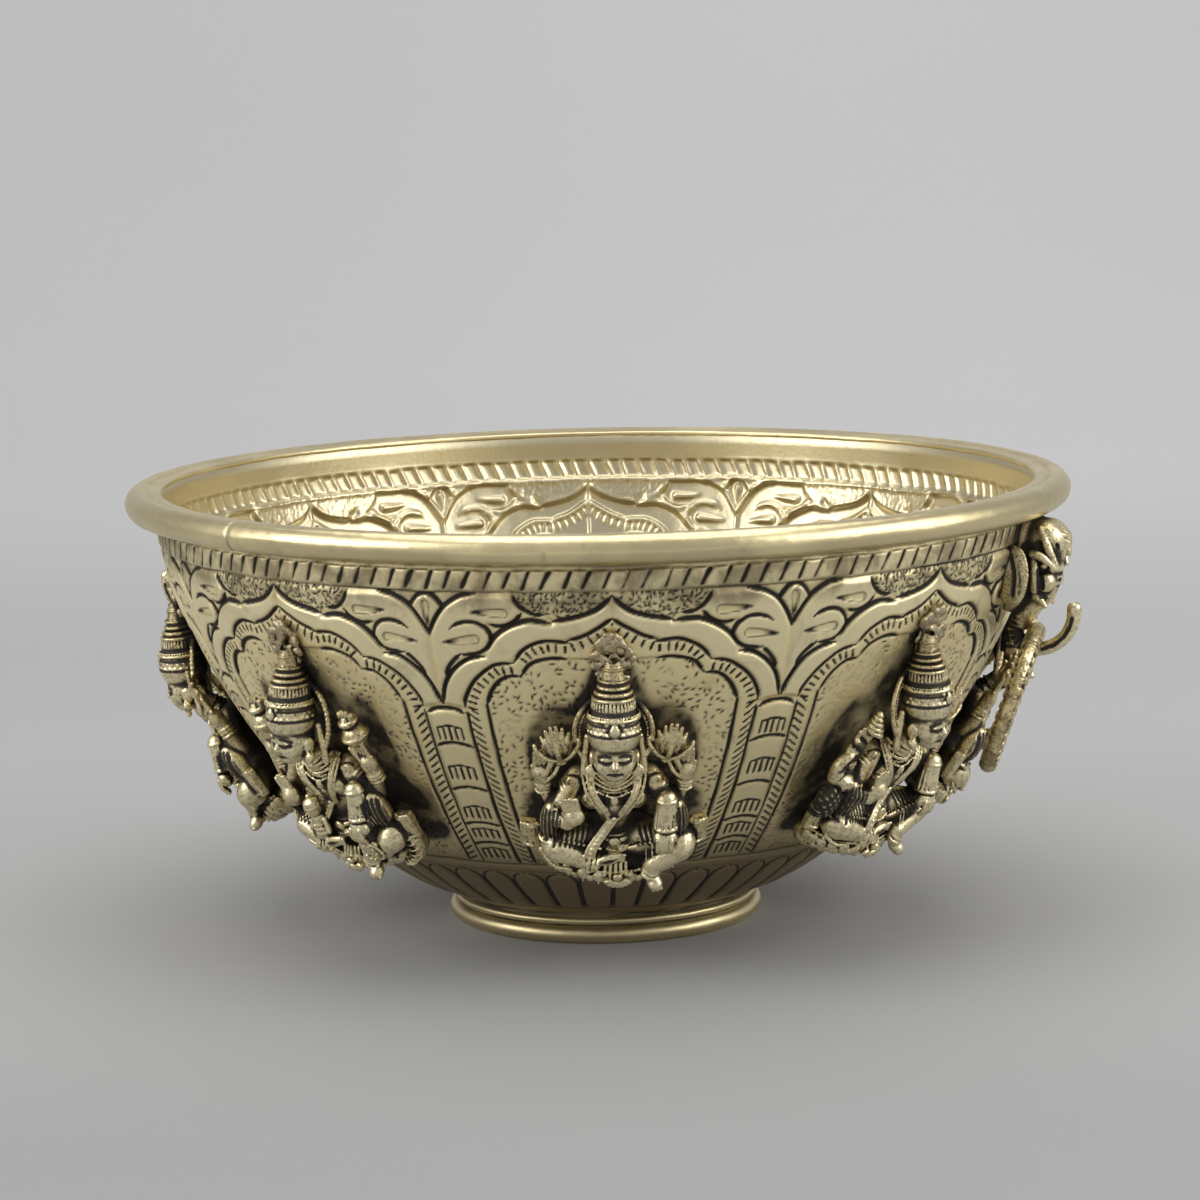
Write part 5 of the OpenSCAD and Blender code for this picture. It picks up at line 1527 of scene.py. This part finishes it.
def embossed_brass():
    f = Finish("Embossed brass")
    patina_and_shade, bloom, raised, within = (f.mark(name) for name in ("patina_and_shade", "bloom", "raised", "within"))
    drift, blot, grain = f.noise(22, 4), f.noise(95, 5, 0.62, 0.4), f.noise(700, 3)
    low, top = 1 - f.along("Z").ramp(0.028, 0.052), f.along("Z").ramp(0.118, 0.124)
    outside = 1 - within
    dull = (blot.ramp(0.42, 0.70) * 0.55 * outside + drift.ramp(0.45, 0.7) * 0.35).clip()
    f.base = f.colour(dull * 0.7, WALL_BRASS, WARM_BRASS)
    f.coat(raised.ramp(0.35, 1.0) * 0.45, PALE_BRASS)
    # painted shade: the inner face is coated with the darker copy of the brass
    f.coat(within * 0.9, INNER_SHADED_BRASS)
    f.coat(f.noise(60, 6, 0.7, 0.8).ramp(0.52, 0.72) * 0.28 * outside, STAIN)
    # painted shade: the lower wall, which faces down towards the shadowed floor, is coated brown
    f.coat(low * 0.88, LOW_WALL_SHADE)
    f.coat(top * outside * (0.18 + 0.5 * blot.ramp(0.4, 0.62)), LIP_BROWN)
    # painted shade with real stain: the halo round the figures and heads is coated dark brown, and near black
    # where it is deepest
    shade_and_stain_share = (bloom * 1.05).clip()
    f.coat(shade_and_stain_share, SHADE_AND_STAIN_BROWN)
    f.coat(bloom.ramp(0.55, 0.95) * 0.9, SOOT_AND_SHADE_BLACK)
    f.coat(patina_and_shade * (0.95 + 0.4 * grain), SOOT_AND_SHADE_BLACK)
    rough = 0.36 + 0.16 * blot + 0.25 * shade_and_stain_share + 0.4 * patina_and_shade + 0.08 * low - 0.10 * within
    metal = 1 - 0.75 * patina_and_shade.most(bloom.ramp(0.5, 1.0))
    fine = f.noise(2600, 2) * 0.5 + grain + f.noise(1500, 2, place=f.stretched((1.0, 1.0, 0.12))) * 0.5
    return f.done(rough, metal, fine, 0.00006)


def polished_brass():
    f = Finish("Polished brass")
    patina_and_shade = f.mark("patina_and_shade")
    drift, blot, grain = f.noise(30, 4), f.noise(160, 5, 0.65, 0.5), f.noise(900, 3)
    foot = 1 - f.along("Z").ramp(0.010, 0.030)
    f.base = f.colour(drift.ramp(0.45, 0.75), DULL_BRASS, BRASS)
    f.coat(blot.ramp(0.55, 0.75) * 0.3 + foot * 0.08, STAIN)
    f.coat(patina_and_shade * (0.75 + 0.45 * grain), SOOT_AND_SHADE_BLACK)
    rough = 0.24 + 0.14 * blot + 0.4 * patina_and_shade + 0.08 * foot
    return f.done(rough, 1 - 0.75 * patina_and_shade, grain * 0.6 + f.noise(3200, 2) * 0.4, 0.00006)


def cast_brass():
    f = Finish("Cast brass")
    patina_and_shade, rubbed = f.mark("patina_and_shade"), f.mark("rubbed")
    drift, grain, pits = f.noise(45, 4), f.noise(1100, 4, 0.65), f.noise(520, 5, 0.7)
    f.base = f.colour(drift.ramp(0.4, 0.65), BRASS, WARM_BRASS)
    f.coat(rubbed * (1 - patina_and_shade) * 0.6, PALE_BRASS)
    speck = f.noise(1700, 3, 0.7).ramp(0.52, 0.66)
    # patina with painted shade in the recesses and close to the wall, a little darker where the cast work lies
    # low on the wall, and dark specks
    deep = (patina_and_shade * (0.9 + 0.4 * grain) + 0.22 * (1 - rubbed) + speck * 0.3).clip()
    f.coat(pits.ramp(0.46, 0.66) * 0.5, STAIN)
    f.coat(deep.ramp(0.06, 0.42) * 0.88, CAST_BROWN)
    f.coat(deep.ramp(0.28, 0.66), SOOT_AND_SHADE_BLACK)
    rough = 0.27 + 0.14 * pits + 0.36 * deep - 0.04 * rubbed
    return f.done(rough, 1 - 0.85 * deep.ramp(0.22, 0.62), pits * 1.2 + grain * 0.6, 0.00011)


def ring_brass():
    f = Finish("Ring brass")
    patina_and_shade = f.mark("patina_and_shade")
    drift, grain = f.noise(60, 4), f.noise(1200, 3, 0.6)
    f.base = f.colour(drift.ramp(0.35, 0.7), BRASS, WARM_BRASS)
    f.coat(f.noise(240, 5, 0.65, 0.5).ramp(0.38, 0.62) * 0.75, STAIN)
    f.coat(patina_and_shade * (0.95 + 0.4 * grain), SOOT_AND_SHADE_BLACK)
    return f.done(0.24 + 0.14 * grain + 0.4 * patina_and_shade, 1 - 0.8 * patina_and_shade, grain, 0.00007)


def braze_metal():
    f = Finish("Braze filler")
    patina_and_shade = f.mark("patina_and_shade")
    lumps, grain = f.noise(330, 5, 0.7, 0.6), f.noise(1500, 4, 0.7)
    f.base = f.colour(lumps.ramp(0.35, 0.65), FILLER_DARK, FILLER_LIGHT)
    f.coat(grain.ramp(0.46, 0.62) * 0.6, FILLER_GRIT)
    f.coat(patina_and_shade * 1.1, SOOT_AND_SHADE_BLACK)
    return f.done(0.30 + 0.2 * lumps + 0.25 * patina_and_shade, 1 - 0.6 * patina_and_shade, lumps + grain * 0.6, 0.00025)


# Making it all
bowl_wall(cast_figures(0.38))
rim_bead()
foot_ring()
for bracket_side, word in ((1, "right"), (-1, "left")):
    elephant_bracket(bracket_side, f"Elephant_head_{word}", f"elephant_bracket_{word}",
                     0.34)
    ring_handle(bracket_side, f"Loose_ring_{word}", f"ring_handle_{word}", f"ring_{word}")
braze_blobs(0.45)

finishes = {make.__name__: make()
            for make in (embossed_brass, polished_brass, cast_brass, ring_brass, braze_metal)}
for piece in list(bpy.data.objects):
    if piece.get("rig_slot") in finishes:
        piece.data.materials.append(finishes[piece["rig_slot"]])


def placed(x, y, z, at):
    """The matrix that puts an object at a place with its axes along x, y and z."""
    return Matrix([[*row] + [p] for row, p in zip(np.stack([x, y, z], -1), at)] + [[0, 0, 0, 1]])


# The camera stands a little above the rim and looks down at the wall, as in the photograph
toward, pitch, roll = math.radians(-68.9), 0.1485, math.radians(1.15)
EYE_AWAY, EYE_UP, LENS = 1.2, 0.282, 112.05
eye = np.array([EYE_AWAY * math.cos(toward), EYE_AWAY * math.sin(toward), EYE_UP])
ahead = np.array([-math.cos(toward) * math.cos(pitch), -math.sin(toward) * math.cos(pitch), -math.sin(pitch)])
right = np.cross(ahead, [0, 0, 1])
right /= np.linalg.norm(right)
up = np.cross(right, ahead)
up, right = up * math.cos(roll) + right * math.sin(roll), right * math.cos(roll) - up * math.sin(roll)
camera = bpy.data.objects.new("Camera", bpy.data.cameras.new("Camera"))
bpy.context.scene.collection.objects.link(camera)
camera.data.lens, camera.data.sensor_width = LENS, 36
camera.matrix_world = placed(right, up, -ahead, eye)
bpy.context.scene.camera = camera


def softbox(name, at, width, height, power):
    """A lamp that faces the middle of the bowl."""
    light = bpy.data.lights.new(name, "AREA")
    light.shape, light.size, light.size_y, light.energy = "RECTANGLE", width, height, power
    lamp = bpy.data.objects.new(name, light)
    bpy.context.scene.collection.objects.link(lamp)
    back = np.array(at, float) - [0, 0, 0.09]
    back /= np.linalg.norm(back)
    side = np.cross([0, 0, 1.0], back)
    side /= np.linalg.norm(side)
    lamp.matrix_world = placed(side, np.cross(back, side), back, at)


# Light is placed by how far it stands towards the camera, to the viewer's right, and up
front = np.array([math.cos(toward), math.sin(toward), 0])
across = np.array([-math.sin(toward), math.cos(toward), 0])


def stand(forward, rightward, upward):
    return front * forward + across * rightward + np.array([0, 0, upward])


softbox("Left softbox", stand(0.55, -1.25, 0.75), 1.2, 1.0, 12)
softbox("Right softbox", stand(0.45, 1.25, 0.70), 1.2, 1.0, 10.5)
softbox("Top softbox", stand(-0.1, 0.0, 1.5), 1.5, 1.5, 13)

world = bpy.data.worlds.new("Studio")
bpy.context.scene.world = world
world.use_nodes = True
ROOM_GREY = 0.47
room = world.node_tree.nodes["Background"]
room.inputs[0].default_value, room.inputs[1].default_value = (ROOM_GREY, ROOM_GREY, ROOM_GREY, 1), 1.0


def backdrop():
    """A plain sweep: a floor that curves up into a wall behind the bowl, with painted light and shade in its
    grey.
    """
    curve = np.linspace(0.1, math.pi / 2, 16)
    depths = np.concatenate([np.linspace(-3.0, 1.4, 23), 1.4 + np.sin(curve), np.full(6, 2.4)])
    ups = np.concatenate([np.zeros(23), 1 - np.cos(curve), np.linspace(1.3, 3.5, 6)])
    sides = np.linspace(-3.5, 3.5, 8)
    points = np.array([stand(-d, s, u) for d, u in zip(depths, ups) for s in sides]) / MM
    i, j = np.meshgrid(np.arange(len(depths) - 1), np.arange(7), indexing="ij")
    a = (i * 8 + j).ravel()
    sheet = make_piece("Backdrop", points, [np.stack([a, a + 1, a + 9, a + 8], -1)], None)
    grey = Finish("Backdrop paper")
    x, y, z = (grey.along(axis) for axis in "XYZ")
    away = -1 * (x * float(front[0]) + y * float(front[1]))
    rightward = x * float(across[0]) + y * float(across[1])
    # painted light and shade: the grey is darkest on the floor a little in front of the bowl, lighter further in
    # front, behind the bowl and up the wall, and a little lighter to the right
    share = (0.30 + 0.10 * away.ramp(-0.27, 0.0) + 0.32 * away.ramp(0.4, 1.5) + 0.10 * z.ramp(0.1, 0.8)
             + 0.36 * (1 - away.ramp(-0.95, -0.36)))
    share = share * (0.965 + 0.07 * rightward.ramp(-0.35, 0.35)) + 0.03 * grey.noise(1.2, 3) - 0.015
    painted_light_paper = grey.colour(share.clip(), (0, 0, 0), (1, 1, 1))
    grey.feed(grey.shader, {"Base Color": painted_light_paper, "Roughness": 0.9, "Metallic": 0.0})
    sheet.data.materials.append(grey.material)


backdrop()
bpy.context.scene.view_settings.view_transform = "Standard"
